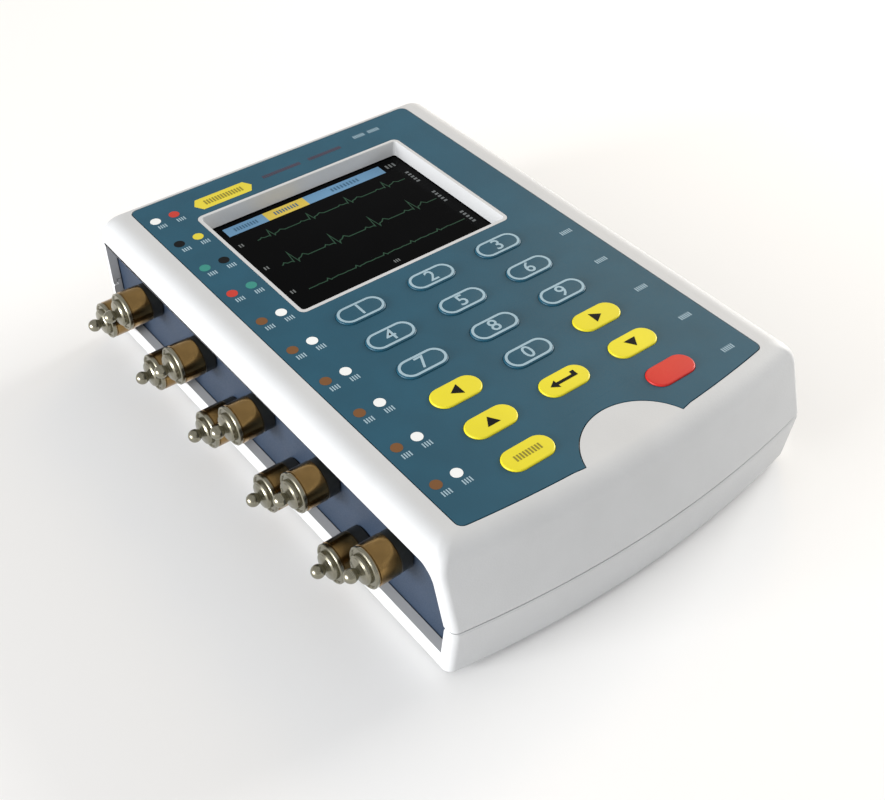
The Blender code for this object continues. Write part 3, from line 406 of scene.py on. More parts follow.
def mesh_from(build):
    """A mesh filled by a function that works on a bmesh, with its faces turned outwards."""
    shape = bmesh.new()
    build(shape)
    bmesh.ops.recalc_face_normals(shape, faces=shape.faces)
    mesh = bpy.data.meshes.new("shape")
    shape.to_mesh(mesh)
    shape.free()
    return mesh


def smooth(mesh, degrees=30):
    mesh.shade_smooth()
    mesh.set_sharp_from_angle(angle=math.radians(degrees))
    return mesh


def plate_mesh(outlines, low, high, upright=False):
    """Flat outlines with a thickness. One inside another is a hole, and upright ones stand across X."""
    curve = bpy.data.curves.new("plate", "CURVE")
    curve.dimensions = "2D"
    curve.fill_mode = "BOTH"
    curve.extrude = (high - low) / 2
    for loop in outlines:
        spline = curve.splines.new("POLY")
        spline.points.add(len(loop) - 1)
        for point, place in zip(spline.points, loop):
            point.co = (*place, 0, 1)
        spline.use_cyclic_u = True
    return mesh_of_curve(curve, (low + high) / 2, upright)


def mesh_of_curve(curve, height, upright=False):
    """A curve's own solid as a welded mesh, with its middle at a height."""
    guide = bpy.data.objects.new("guide", curve)
    bpy.context.scene.collection.objects.link(guide)
    graph = bpy.context.evaluated_depsgraph_get()
    flat = bpy.data.meshes.new_from_object(guide.evaluated_get(graph))
    bpy.data.objects.remove(guide)
    turn = ACROSS_X if upright else Matrix()
    place = turn @ Matrix.Translation((0, 0, height))

    def weld(shape):
        shape.from_mesh(flat)
        bmesh.ops.remove_doubles(shape, verts=shape.verts, dist=WELD)
        bmesh.ops.transform(shape, matrix=place, verts=shape.verts)

    mesh = mesh_from(weld)
    mesh.materials.clear()
    bpy.data.meshes.remove(flat)
    return mesh


def loft_mesh(rings):
    """A closed solid through rings that each have as many points as the next."""

    def build(shape):
        levels = [[shape.verts.new(point) for point in ring] for ring in rings]
        shape.faces.new(levels[0])
        shape.faces.new(levels[-1])
        for lower, upper in zip(levels, levels[1:]):
            for i in range(len(lower)):
                shape.faces.new((lower[i - 1], lower[i], upper[i], upper[i - 1]))

    return mesh_from(build)


def box_mesh(low, high):
    size = [b - a for a, b in zip(low, high)]
    centre = [(a + b) / 2 for a, b in zip(low, high)]
    place = Matrix.Translation(centre) @ Matrix.Diagonal((*size, 1.0))
    return mesh_from(lambda shape: bmesh.ops.create_cube(shape, size=1.0, matrix=place))


def cylinder_mesh(centre_xy, radius, low_z, high_z):
    place = Matrix.Translation((*centre_xy, (low_z + high_z) / 2))
    return mesh_from(lambda shape: bmesh.ops.create_cone(
        shape, cap_ends=True, segments=CIRCLE_STEPS, radius1=radius, radius2=radius,
        depth=high_z - low_z, matrix=place))


def turned_mesh(profile, steps=TURN_STEPS, degrees=30):
    """A half section, as (radius, height) points from its top down to its foot, swept around Z."""

    def build(shape):
        rings = []
        for radius, height in profile:
            points = circle((0, 0), radius, steps) if radius else [(0, 0)]
            rings.append([shape.verts.new((*point, height)) for point in points])
        pairs = list(zip(rings, rings[1:]))
        if len(rings[0]) > 1:
            pairs.append((rings[-1], rings[0]))
        for upper, lower in pairs:
            for i in range(steps):
                corners = [upper[(i - 1) % len(upper)], upper[i % len(upper)],
                           lower[i % len(lower)], lower[(i - 1) % len(lower)]]
                shape.faces.new(list(dict.fromkeys(corners)))

    return smooth(mesh_from(build), degrees)


def combined(mesh, operation, tools):
    """The mesh with some others cut out of it or joined to it."""
    body = bpy.data.objects.new("body", mesh)
    bpy.context.scene.collection.objects.link(body)
    helpers = []
    for tool in tools:
        helper = bpy.data.objects.new("tool", tool)
        bpy.context.scene.collection.objects.link(helper)
        helpers.append(helper)
        modifier = body.modifiers.new("combine", "BOOLEAN")
        modifier.operation = operation
        modifier.object = helper
    graph = bpy.context.evaluated_depsgraph_get()
    result = bpy.data.meshes.new_from_object(body.evaluated_get(graph))
    for helper in [body, *helpers]:
        bpy.data.objects.remove(helper)
    return result


def soften(piece, width, degrees=32):
    """Rounds a piece's sharp edges a little and evens out the shading of its flat faces."""
    smooth(piece.data, degrees)
    bevel = piece.modifiers.new("soft_edges", "BEVEL")
    bevel.width = width
    bevel.segments = 2
    bevel.limit_method = "ANGLE"
    bevel.angle_limit = math.radians(degrees)
    normals = piece.modifiers.new("even_normals", "WEIGHTED_NORMAL")
    normals.keep_sharp = True


def printed(name, outlines, low_z, material, body="case"):
    """Ink or a lit patch: flat outlines just above the surface that carries them."""
    mesh = plate_mesh(outlines, low_z + PRINT_LIFT, low_z + PRINT_LIFT + PRINT_THICK)
    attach(new_piece(name, mesh, material), body)


# Case

def edge_inset(z, top_round):
    """How far an upright wall has drawn in at a level, because of its rounded top and foot."""
    if z > CASE_HEIGHT - top_round:
        rise = z - (CASE_HEIGHT - top_round)
        return top_round - math.sqrt(max(top_round ** 2 - rise ** 2, 0))
    if z < FOOT_ROUND:
        return FOOT_ROUND - math.sqrt(FOOT_ROUND ** 2 - (FOOT_ROUND - z) ** 2)
    return 0.0


def front_inset(z):
    """How far the bowed front has drawn in from the parting line at a level."""
    if z <= PARTING_Z:
        return (PARTING_Z - z) * math.tan(FRONT_DRAFT) + edge_inset(z, FOOT_ROUND)
    full = (CASE_HEIGHT - PARTING_Z) * math.tan(FRONT_LEAN)
    tangent = FRONT_SHOULDER * math.tan((QUARTER - FRONT_LEAN) / 2)
    if z < CASE_HEIGHT - tangent * math.cos(FRONT_LEAN):
        return (z - PARTING_Z) * math.tan(FRONT_LEAN)
    rise = z - (CASE_HEIGHT - FRONT_SHOULDER)
    return full + tangent - math.sqrt(max(FRONT_SHOULDER ** 2 - rise ** 2, 0))


def front_corner_centre(z, inset):
    """(x, y, radius) of the upright corner between the right side and the bowed front."""
    radius = max(FRONT_CORNER - inset, LEAST_CORNER)
    x = CASE_WIDTH / 2 - edge_inset(z, SIDE_ROUND) - inset - radius
    reach = FRONT_BOW - front_inset(z) - inset - radius
    return x, CASE_LOW.y + FRONT_BOW - math.sqrt(reach ** 2 - x ** 2), radius


def case_ring(z, inset):
    """The case's plan outline at a level, drawn in by an inset."""
    x, y, radius = front_corner_centre(z, inset)
    bow_y = CASE_LOW.y + FRONT_BOW
    slant = math.atan2(y - bow_y, x)
    back_radius = max(BACK_ROUND - inset, LEAST_CORNER)
    back_x = CASE_WIDTH / 2 - edge_inset(z, SIDE_ROUND) - inset - back_radius
    back_y = CASE_HIGH.y - edge_inset(z, BACK_ROUND) - inset - back_radius
    ring = arc((back_x, back_y), back_radius, 0, QUARTER, CORNER_STEPS)
    ring += arc((-back_x, back_y), back_radius, QUARTER, math.pi, CORNER_STEPS)
    ring += arc((-x, y), radius, -math.pi, -math.pi - slant, CORNER_STEPS)
    bow_radius = FRONT_BOW - front_inset(z) - inset
    ring += arc((0, bow_y), bow_radius, -math.pi - slant, slant, BOW_STEPS)[1:-1]
    ring += arc((x, y), radius, slant, 0, CORNER_STEPS)
    return [(*point, z) for point in ring]


def case_mesh(low_z, high_z, inset=0.0, seam=None):
    """The case's form between two levels, with a ring at each bend of its walls and a draft at a seam."""
    turns = [math.radians(ROUND_DEGREES * i) for i in range(int(90 / ROUND_DEGREES) + 1)]
    bends = [FOOT_ROUND * (1 - math.cos(a)) for a in turns] + [PARTING_Z]
    bends += [CASE_HEIGHT - SIDE_ROUND * (1 - math.sin(a)) for a in turns]
    first, last = [(low_z, inset)], [(high_z, inset)]
    if seam == low_z:
        first = [(low_z, inset + SEAM_DRAFT), (low_z + SEAM_REACH, inset)]
    if seam == high_z:
        last = [(high_z - SEAM_REACH, inset), (high_z, inset + SEAM_DRAFT)]
    low_bend, high_bend = first[-1][0] + LEAST_STEP, last[0][0] - LEAST_STEP
    levels = [(z, inset) for z in bends if low_bend < z < high_bend]
    return loft_mesh([case_ring(z, drawn) for z, drawn in first + levels + last])


def overlay_outline(grow=0.0):
    """The keypad's outline: a bowed front edge with a round notch in its middle."""
    half = (OVERLAY_HIGH.x - OVERLAY_LOW.x) / 2 + grow
    bow_y = OVERLAY_FRONT - grow + OVERLAY_BOW
    notch_radius = NOTCH_RADIUS - grow

    def bow(x):
        return bow_y - math.sqrt(OVERLAY_BOW ** 2 - x ** 2)

    mouth = math.asin((bow(KEYS_X) - NOTCH_Y) / notch_radius)
    notch = arc((KEYS_X, NOTCH_Y), notch_radius, math.pi - mouth, mouth, NOTCH_STEPS)
    steps = KEYPAD_BOW_STEPS
    left = [-half + (notch[0][0] + half) * i / steps for i in range(steps)]
    right = [notch[-1][0] + (half - notch[-1][0]) * i / steps for i in range(1, steps + 1)]
    points = [(x, bow(x)) for x in left] + notch + [(x, bow(x)) for x in right]
    points += [(half, OVERLAY_HIGH.y + grow), (-half, OVERLAY_HIGH.y + grow)]
    corners = {0, len(points) - 3, len(points) - 2, len(points) - 1}
    radii = [OVERLAY_CORNER + grow if i in corners else 0 for i in range(len(points))]
    return rounded(points, radii, KEYPAD_CORNER_STEPS)


def window_outline(grow=0.0):
    outline = rectangle(WINDOW_CENTRE, WINDOW_WIDTH + 2 * grow, WINDOW_LENGTH + 2 * grow)
    return rounded(outline, [WINDOW_CORNER + max(grow, 0)] * len(outline), WINDOW_CORNER_STEPS)


def opening_outline():
    """A side opening, as (y, z) points. Its front end runs parallel to the case's front."""
    front = [(front_corner_centre(z, WALL)[1] + OPENING_MARGIN, z)
             for z in (OPENING_TOP_Z, PARTING_Z, OPENING_SILL_Z)]
    back = [(OPENING_BACK_Y, OPENING_SILL_Z), (OPENING_BACK_Y, OPENING_TOP_Z)]
    return rounded(back + front, [0, 0, OPENING_ROUND, 0, 0], CORNER_STEPS)


def opening_cutters():
    inner, outer = CASE_WIDTH / 2 - WALL - OVERSHOOT, CASE_WIDTH / 2 + OVERSHOOT
    return [plate_mesh([opening_outline()], *sorted((side * inner, side * outer)), upright=True)
            for side in (-1, 1)]


def make_top_case():
    seam = PARTING_Z + GAP / 2
    under = PARTING_Z - OVERSHOOT
    above = CASE_HEIGHT + OVERSHOOT
    hollow = case_mesh(under, DECK_UNDER_Z, WALL)
    lip_recess = case_mesh(under, PARTING_Z + LIP_HEIGHT + GAP, WALL / 2 - GAP / 2)
    keypad_recess = plate_mesh([overlay_outline(GAP), window_outline(WINDOW_RIM)], DECK_TOP_Z, above)
    slope = WINDOW_TAPER / (CASE_HEIGHT - DECK_UNDER_Z)
    well = loft_mesh([[(*point, z) for point in window_outline((z - CASE_HEIGHT) * slope)]
                      for z in (DECK_UNDER_Z - OVERSHOOT, above)])
    cutters = [hollow, lip_recess, *opening_cutters(), keypad_recess, well]
    mesh = combined(case_mesh(seam, CASE_HEIGHT, seam=seam), "DIFFERENCE", cutters)
    shell = new_piece("top_shell", mesh, CASE_PLASTIC, replaced=["top_case"])
    soften(shell, EDGE_SOFT, SHELL_BEND)
    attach(shell, "case")


def make_bottom_case():
    lip_top = PARTING_Z + LIP_HEIGHT
    seam = PARTING_Z - GAP / 2
    lip = case_mesh(PARTING_Z - LIP_HEIGHT, lip_top, WALL / 2 + GAP / 2)
    hollow = case_mesh(FLOOR, lip_top + OVERSHOOT, WALL)
    screw_places = [centre_of(name)[:2] for name in CASE_SCREWS]
    bosses = [cylinder_mesh(place, BOSS_RADIUS, FLOOR / 2, seam) for place in screw_places]
    mesh = combined(case_mesh(0, seam, seam=seam), "UNION", [lip])
    mesh = combined(mesh, "DIFFERENCE", [hollow])
    mesh = combined(mesh, "UNION", bosses)
    cutters = [*opening_cutters(), battery_bay()]
    for place in screw_places:
        cutters.append(cylinder_mesh(place, HEAD_BORE_RADIUS, -OVERSHOOT, SCREW_SEAT_Z))
        cutters.append(cylinder_mesh(place, SCREW_BORE_RADIUS, 0, PARTING_Z + OVERSHOOT))
    for name in FEET:
        low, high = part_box(name)
        radius = (high.x - low.x) / 2 + GAP
        cutters.append(cylinder_mesh(centre_of(name)[:2], radius, -OVERSHOOT, FOOT_POCKET))
    mesh = combined(mesh, "DIFFERENCE", cutters)
    shell = new_piece("bottom_shell", mesh, CASE_PLASTIC, replaced=["bottom_case"])
    soften(shell, EDGE_SOFT, SHELL_BEND)
    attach(shell, "case")


def battery_bay():
    """The hole for the battery cover's plate, behind the tabs that reach under the floor."""
    low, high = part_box("battery_cover")
    corners = [vertex.co for vertex in frame["nodes"]["battery_cover"].data.vertices]
    plate_front = min(corner.y for corner in corners if corner.z < COVER_TAB_Z)
    return box_mesh((low.x - GAP, plate_front - GAP, -OVERSHOOT),
                    (high.x + GAP, high.y + GAP, FLOOR + OVERSHOOT))


def make_cover_grips():
    """Finger ridges across the battery cover, near its screw."""
    first_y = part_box("battery_cover")[1].y - GRIP_SETBACK
    ridges = [stadium((0, first_y - i * GRIP_PITCH), GRIP_LENGTH, GRIP_WIDTH) for i in range(GRIP_COUNT)]
    grips = new_piece("cover_grips", plate_mesh(ridges, -GRIP_PROUD, GRIP_SUNK), CASE_PLASTIC)
    soften(grips, GRIP_SOFT)
    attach(grips, "case")


def make_feet():
    for name in FEET:
        low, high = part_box(name)
        radius = (high.x - low.x) / 2
        edge = arc((radius - FOOT_EDGE, low.z + FOOT_EDGE), FOOT_EDGE, 0, -QUARTER, FOOT_EDGE_STEPS)
        dish_z = low.z + FOOT_DISH
        dish = [(radius * FOOT_DISH_RIM, low.z), (radius * FOOT_DISH_FLAT, dish_z), (0, dish_z)]
        mesh = turned_mesh([(0, high.z), (radius, high.z)] + edge + dish)
        foot = new_piece(f"rubber_{name}", mesh, RUBBER, replaced=[name])
        foot.location = (*centre_of(name)[:2], 0)
        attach(foot, "case")


# Keypad

def key_box(name):
    """(centre x, centre y, length, width) of a key."""
    low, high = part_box(name)
    return *centre_of(name)[:2], high.x - low.x, high.y - low.y


def make_overlay():
    loops = [overlay_outline(), window_outline(WINDOW_RIM + FILM_GAP)]
    for name in KEY_NAMES:
        x, y, length, width = key_box(name)
        loops.append(stadium((x, y), length + 2 * FILM_GAP, width + 2 * FILM_GAP))
    mesh = plate_mesh(loops, OVERLAY_LOW.z, OVERLAY_HIGH.z)
    film = new_piece("printed_film", mesh, FILM_BLUE, replaced=["keypad_overlay"])
    soften(film, FILM_SOFT)
    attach(film, "case")


def key_look(name):
    if name == "key_power":
        return KEY_RED, "key_red"
    return (FILM_BLUE, "key_blue") if name[-1].isdigit() else (KEY_YELLOW, "key_yellow")


def make_key(name):
    x, y, length, width = key_box(name)
    low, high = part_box(name)
    top = high.z - PRINT_LIFT - PRINT_THICK
    levels = [(low.z, 0), (top - KEY_ROUND, 0)]
    for i in range(1, KEY_ROUND_STEPS + 1):
        a = QUARTER * i / KEY_ROUND_STEPS
        levels.append((top - KEY_ROUND * (1 - math.sin(a)), KEY_ROUND * (1 - math.cos(a))))
    rings = [[(*point, z) for point in stadium((x, y), length - 2 * inset, width - 2 * inset)]
             for z, inset in levels]
    material, slot = key_look(name)
    pill = new_piece(f"{name}_pill", smooth(loft_mesh(rings)), material, replaced=[name])
    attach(pill, name)
    make_legend(name, top)


def digit_mesh(digit, centre, top):
    curve = bpy.data.curves.new("digit", "FONT")
    curve.body = digit
    curve.size = DIGIT_SIZE
    curve.offset = DIGIT_WEIGHT
    curve.resolution_u = DIGIT_STEPS
    curve.align_x = "CENTER"
    curve.align_y = "CENTER"
    curve.extrude = PRINT_THICK / 2
    mesh = mesh_of_curve(curve, top + PRINT_LIFT + PRINT_THICK / 2)
    mesh.transform(Matrix.Translation((*centre, 0)))
    return mesh


def make_legend(name, top):
    """A pale line and a digit on a blue key, a dark symbol or a row of bars on a yellow one."""
    x, y, length, width = key_box(name)
    if name == "key_power":
        return
    if name[-1].isdigit():
        line = [stadium((x, y), length - 2 * inset, width - 2 * inset)
                for inset in (KEY_LINE_OUTER, KEY_LINE_INNER)]
        printed(f"{name}_outline", line, top, PRINT_PALE, name)
        digit = new_piece(f"{name}_digit", digit_mesh(name[-1], (x, y), top), PRINT_PALE)
        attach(digit, name)
    elif name == "key_escape":
        marks = bars((x / MM, y / MM), *ESCAPE_LABEL)
        printed(f"{name}_marks", in_metres(marks), top, PRINT_OLIVE, name)
    else:
        symbol = [(x + px * MM, y + py * MM) for px, py in symbol_outline(name)]
        printed(f"{name}_symbol", [symbol], top, PRINT_BLACK, name)


def symbol_outline(name):
    """The arrow on a yellow key, around the key's centre, in millimetres."""
    if name == "key_enter":
        return ENTER_ARROW
    turn = Matrix.Rotation(ARROW_TURNS[name] * QUARTER, 2)
    return [tuple(turn @ Vector(point)) for point in ARROW]


# Print on the keypad, in millimetres. A label is its bars' whole width, their height and their number.

ARROW = [(-2.0, -1.4), (2.0, -1.4), (0, 1.7)]
ARROW_TURNS = {"key_up": 0, "key_left": 1, "key_down": 2, "key_right": 3}
ENTER_ARROW = [(-4.7, 0), (-2.4, -1.5), (-2.4, -0.5), (4.3, -0.5), (4.3, 1.6), (3.0, 1.6), (3.0, 0.5),
               (-2.4, 0.5), (-2.4, 1.5)]
ESCAPE_LABEL = (8.5, 2.0, 9)
BAR_SHARE = 0.5               # of the pitch, for the bar's own width

LEAD_DOT_RADIUS = 1.6
LEAD_ROWS = (76.6, 62.3, 47.7, 32.9, 17.6, 2.5, -12.9, -27.8, -43.2, -58.6)
LEAD_COLUMNS = (
    (-47.3, ("white", "black", "teal", "red") + ("brown",) * 6),
    (-41.1, ("red", "yellow", "black", "teal") + ("white",) * 6),
)
LEAD_LABEL = (2.9, 1.7, 4)
LEAD_LABEL_SHIFT = (0.5, -3.5)    # from the dot
DOT_PRINTS = {"white": PRINT_WHITE, "black": PRINT_BLACK, "teal": PRINT_TEAL, "red": PRINT_RED,
              "brown": PRINT_BROWN, "yellow": PRINT_YELLOW}

SOCKET_PLACES = ((45.6, -2.0), (44.2, -18.4), (44.1, -34.6), (44.6, -50.9), (43.7, -67.1))
SOCKET_LABEL = (4.2, 1.7, 6)
CORNER_PLACES = ((28.6, 79.5), (34.4, 79.5))
CORNER_LABEL = (4.4, 1.7, 6)

TITLE_PLATE = [(-34.3, 76.3), (-32.6, 73.4), (-15.9, 73.4), (-14.2, 76.3), (-15.9, 79.2), (-32.6, 79.2)]
TITLE_PLATE_LABEL = ((-24.2, 76.3), 13.5, 2.4, 14)
TITLE_LABELS = (((-2.5, 77.5), 14.0, 1.5, 18), ((13.8, 77.5), 12.5, 1.5, 16))


def in_metres(outlines):
    return [[(x * MM, y * MM) for x, y in outline] for outline in outlines]


def bars(centre, width, height, count):
    """A row of equal upright bars, the size of a label."""
    pitch = width / count
    first = centre[0] - width / 2 + pitch / 2
    return [rectangle((first + i * pitch, centre[1]), pitch * BAR_SHARE, height) for i in range(count)]


def make_lead_prints():
    dots = {}
    marks = []
    for x, colours in LEAD_COLUMNS:
        for y, colour in zip(LEAD_ROWS, colours):
            dots.setdefault(colour, []).append(circle((x, y), LEAD_DOT_RADIUS))
            marks += bars((x + LEAD_LABEL_SHIFT[0], y + LEAD_LABEL_SHIFT[1]), *LEAD_LABEL)
    for colour, outlines in dots.items():
        printed(f"lead_dots_{colour}", in_metres(outlines), OVERLAY_HIGH.z, DOT_PRINTS[colour])
    for place in SOCKET_PLACES:
        marks += bars(place, *SOCKET_LABEL)
    for place in CORNER_PLACES:
        marks += bars(place, *CORNER_LABEL)
    printed("pale_marks", in_metres(marks), OVERLAY_HIGH.z, PRINT_PALE)


def make_title_prints():
    face = OVERLAY_HIGH.z
    plate_face = face + PRINT_LIFT + PRINT_THICK
    printed("title_plate", in_metres([TITLE_PLATE]), face, PRINT_YELLOW)
    printed("title_plate_marks", in_metres(bars(*TITLE_PLATE_LABEL)), plate_face, PRINT_OLIVE)
    marks = [bar for label in TITLE_LABELS for bar in bars(*label)]
    printed("title_marks", in_metres(marks), face, PRINT_MAROON)


# Picture on the display, in millimetres

HEADER_BARS = ((-30.7, -16.7, SCREEN_BLUE), (-16.7, -2.0, SCREEN_YELLOW), (-2.0, 27.3, SCREEN_BLUE))
HEADER_Y = (62.8, 67.3)
HEADER_LABEL_SHARE = 0.6      # of the header bar's length
HEADER_LABEL_REACH = 18       # the longest stretch of a header bar that its label goes by
HEADER_LABEL = (1.8, 9)       # height and number of bars
STATUS_LABEL = ((30.7, 65.2), 4.0, 2.0, 3)
FOOT_LABEL = ((1.9, 22.8), 2.2, 1.3, 3)
TRACE_LABELS_Y = (57.0, 43.0, 29.0)
TRACE_LABEL_X = -30.3
TRACE_LABEL = (1.8, 1.5, 2)
SCALE_X = 32.7                # a ladder of small marks at the end of each trace
SCALE_DROP = 1.2
SCALE_PITCH = 1.5
SCALE_MARK = (1.2, 0.8)
TRACE_WIDTH = 0.4
TRACES = (
    # height, start, end, beat height, beats
    (56.3, -25.0, 30.0, 3.2, (-20.0, -5.8, 8.4, 22.6)),
    (41.3, -26.0, 31.0, 5.2, (-21.5, -6.8, 7.9, 22.6)),
    (27.3, -26.0, 31.0, 0.9, (-19.0, -9.0, 1.0, 11.0, 21.0)),
)
BEAT = ((-4.2, 0), (-3.4, 0.16), (-2.6, 0), (-1.1, 0), (-0.7, -0.10), (0, 1.0), (0.7, -0.28), (1.2, 0),
        (2.2, 0.05), (3.4, 0.26), (4.6, 0))    # (place, share of the beat's height)


def make_screen_picture():
    face = LENS_HIGH.z
    low, high = HEADER_Y
    header_marks = []
    for i, (left, right, material) in enumerate(HEADER_BARS):
        bar = [(left, low), (right, low), (right, high), (left, high)]
        printed(f"screen_header_{i + 1}", in_metres([bar]), face, material)
        label_width = min(right - left, HEADER_LABEL_REACH) * HEADER_LABEL_SHARE
        header_marks += bars(((left + right) / 2, (low + high) / 2), label_width, *HEADER_LABEL)
    marks = bars(*STATUS_LABEL)
    for y in TRACE_LABELS_Y:
        marks += bars((TRACE_LABEL_X, y), *TRACE_LABEL)
        marks += [rectangle((SCALE_X, y - SCALE_DROP + SCALE_PITCH * i), *SCALE_MARK) for i in range(-2, 3)]
    marks += bars(*FOOT_LABEL)
    printed("screen_marks", in_metres(marks), face, SCREEN_GREY)
    header_face = face + PRINT_LIFT + PRINT_THICK
    printed("screen_header_marks", in_metres(header_marks), header_face, SCREEN_NAVY)
    for i, trace in enumerate(TRACES):
        outline = in_metres([ribbon(trace_points(*trace), TRACE_WIDTH)])
        printed(f"screen_trace_{i + 1}", outline, face, SCREEN_GREEN)


def trace_points(height, start, end, beat, places):
    """A heart trace: a small wave before each beat, a spike, a dip and a low wave after it."""
    points = [(start, height)]
    for x in places:
        points += [(x + dx, height + dy * beat) for dx, dy in BEAT]
    return points + [(end, height)]


def ribbon(points, width):
    """The outline of a line of some width, mitred where it turns, with sharp turns cut short outside."""
    least_cosine = 0.05
    sides = ([], [])
    for i, point in enumerate(points):
        here = Vector(point)
        before = (here - Vector(points[i - 1])).normalized() if i else None
        after = (Vector(points[i + 1]) - here).normalized() if i < len(points) - 1 else None
        before, after = before or after, after or before
        normal = Vector((-(before + after).y, (before + after).x)).normalized()
        reach = width / 2 / max(normal.dot(Vector((-before.y, before.x))), least_cosine)
        turn = before.cross(after)
        for side, sign in zip(sides, (1, -1)):
            outside = turn * sign < 0
            side.append(tuple(here + normal * sign * (min(reach, width) if outside else reach)))
    return sides[0] + sides[1][::-1]


# Lead posts, sockets and the power jack. Their profiles are (radius, height from the side panel's face).

COLLAR_HEIGHT = 3.5 * MM
COLLAR_INSET = 0.15 * MM      # how much narrower than the barrel it is
COLLAR_EDGE = 0.15 * MM
COLLAR_SUNK = 0.02 * MM       # its bore's end, under the barrel
COLLAR_FIT = 0.05 * MM        # around the shank
SHANK_RADIUS = 1.9 * MM
BALL_RADIUS = 1.9 * MM
BALL_DEGREES = 12
BALL_RINGS = 11
BARREL_END = 5.3 * MM         # from the ball's tip back to the barrel's end face
POST_SEAM = 1.2 * MM          # from that face back to where barrel and end meet, in a groove
GROOVE_DEPTH = 0.3 * MM
GROOVE_FLAT = 0.15 * MM       # its floor and its slanted side, on each side of the seam
GROOVE_SIDE = 0.15 * MM
BARREL_CHAMFER = 0.3 * MM
POST_NECK = ((1.2, 1.75), (1.6, 1.5))                     # millimetres, heights from the end face
POST_BOSS = ((3.5, 1.2), (3.9, 0.8), (4.0, -0.3))
POST_RIM = ((-0.75, -0.35), (-0.55, 0), (-0.25, 0), (0, -0.25))    # radii from the post's own radius

SOCKET_CORE_RADIUS = 3.1 * MM
SOCKET_CORE_DEPTH = 0.4 * MM
SOCKET_CORE_EDGE = 0.3 * MM
SOCKET_RECESS_RADIUS = 4.4 * MM
SOCKET_RECESS_DEPTH = 4 * MM
SOCKET_RECESS_EDGE = 0.2 * MM
SOCKET_EDGE = 0.35 * MM
SOCKET_EDGE_STEPS = 5
SOCKET_BODY_RADIUS = 5.0 * MM
CONTACT_PROFILE = ((0, 0.5), (0.3, 0.4), (0.42, 0.15), (0.42, 0), (0, 0))     # millimetres
CONTACT_STEPS = 20
CONTACT_COUNT = 6
CONTACT_CIRCLE = 2.0 * MM
CONTACT_DEPTH = 0.38 * MM

JACK_PIN = ((0, 0.8), (0.7, 0.9), (1.0, 1.3))    # millimetres, radius and depth below the jack's face
JACK_PIN_RADIUS = 1.0 * MM
JACK_BORE_RADIUS = 2.9 * MM
JACK_BORE_DEPTH = 5.5 * MM
JACK_EDGE = 0.3 * MM


def side_place(node, side):
    """The point of a side panel's face at a node's middle, with Z turned out of the case."""
    y, z = centre_of(node)[1:]
    return Matrix.Translation((side * PANEL_FACE_X, y, z)) @ Matrix.Rotation(side * QUARTER, 4, "Y")


def collar_mesh(post_radius):
    radius = post_radius - COLLAR_INSET
    top = COLLAR_HEIGHT - COLLAR_SUNK
    bore = SHANK_RADIUS + COLLAR_FIT
    return turned_mesh([(radius - COLLAR_EDGE, top), (radius, COLLAR_HEIGHT - COLLAR_EDGE),
                        (radius, GAP + COLLAR_EDGE), (radius - COLLAR_EDGE, GAP), (bore, GAP), (bore, top)])


def barrel_mesh(radius, end_face, shank_foot):
    seam = end_face - POST_SEAM
    groove = radius - GROOVE_DEPTH
    return turned_mesh([(0, seam), (groove, seam), (groove, seam - GROOVE_FLAT),
                        (radius, seam - GROOVE_FLAT - GROOVE_SIDE),
                        (radius, COLLAR_HEIGHT + BARREL_CHAMFER), (radius - BARREL_CHAMFER, COLLAR_HEIGHT),
                        (SHANK_RADIUS, COLLAR_HEIGHT), (SHANK_RADIUS, shank_foot), (0, shank_foot)])


def post_end_mesh(radius, end_face, reach):
    """The ball on its neck and boss, inside the barrel's rim."""
    seam = end_face - POST_SEAM
    groove = radius - GROOVE_DEPTH
    ball_z = reach - BALL_RADIUS
    turns = [math.radians(BALL_DEGREES * i) for i in range(1, BALL_RINGS + 1)]
    profile = [(0, reach)]
    profile += [(BALL_RADIUS * math.sin(a), ball_z + BALL_RADIUS * math.cos(a)) for a in turns]
    profile += [(r * MM, end_face + z * MM) for r, z in POST_NECK + POST_BOSS]
    profile += [(radius + r * MM, end_face + z * MM) for r, z in POST_RIM]
    profile += [(radius, seam + GROOVE_FLAT + GROOVE_SIDE), (groove, seam + GROOVE_FLAT),
                (groove, seam), (0, seam)]
    return turned_mesh(profile, degrees=25)


def make_lead_posts():
    """Each post is a collar against the panel, near-black as painted shade, then a plated barrel with a ball
    tip for a snap clip.
    """
    low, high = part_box(LEAD_POSTS[0])
    radius = (high.y - low.y) / 2
    reach = -PANEL_FACE_X - low.x
    end_face = reach - BARREL_END
    parts = (
        ("barrel", barrel_mesh(radius, end_face, -PANEL_FACE_X - high.x), BARREL_METAL, "nickel"),
        ("end", post_end_mesh(radius, end_face, reach), TIP_METAL, "nickel"),
        # the collar's near-black is painted shade at the barrel's foot
        ("collar", collar_mesh(radius), COLLAR_PAINTED_SHADE, "black_plastic"),
    )
    for name in LEAD_POSTS:
        for part, mesh, material, slot in parts:
            replaced = [name] if part == "barrel" else []
            piece = new_piece(f"{name}_{part}", mesh, material, replaced)
            piece.matrix_world = side_place(name, -1)
            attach(piece, "case")


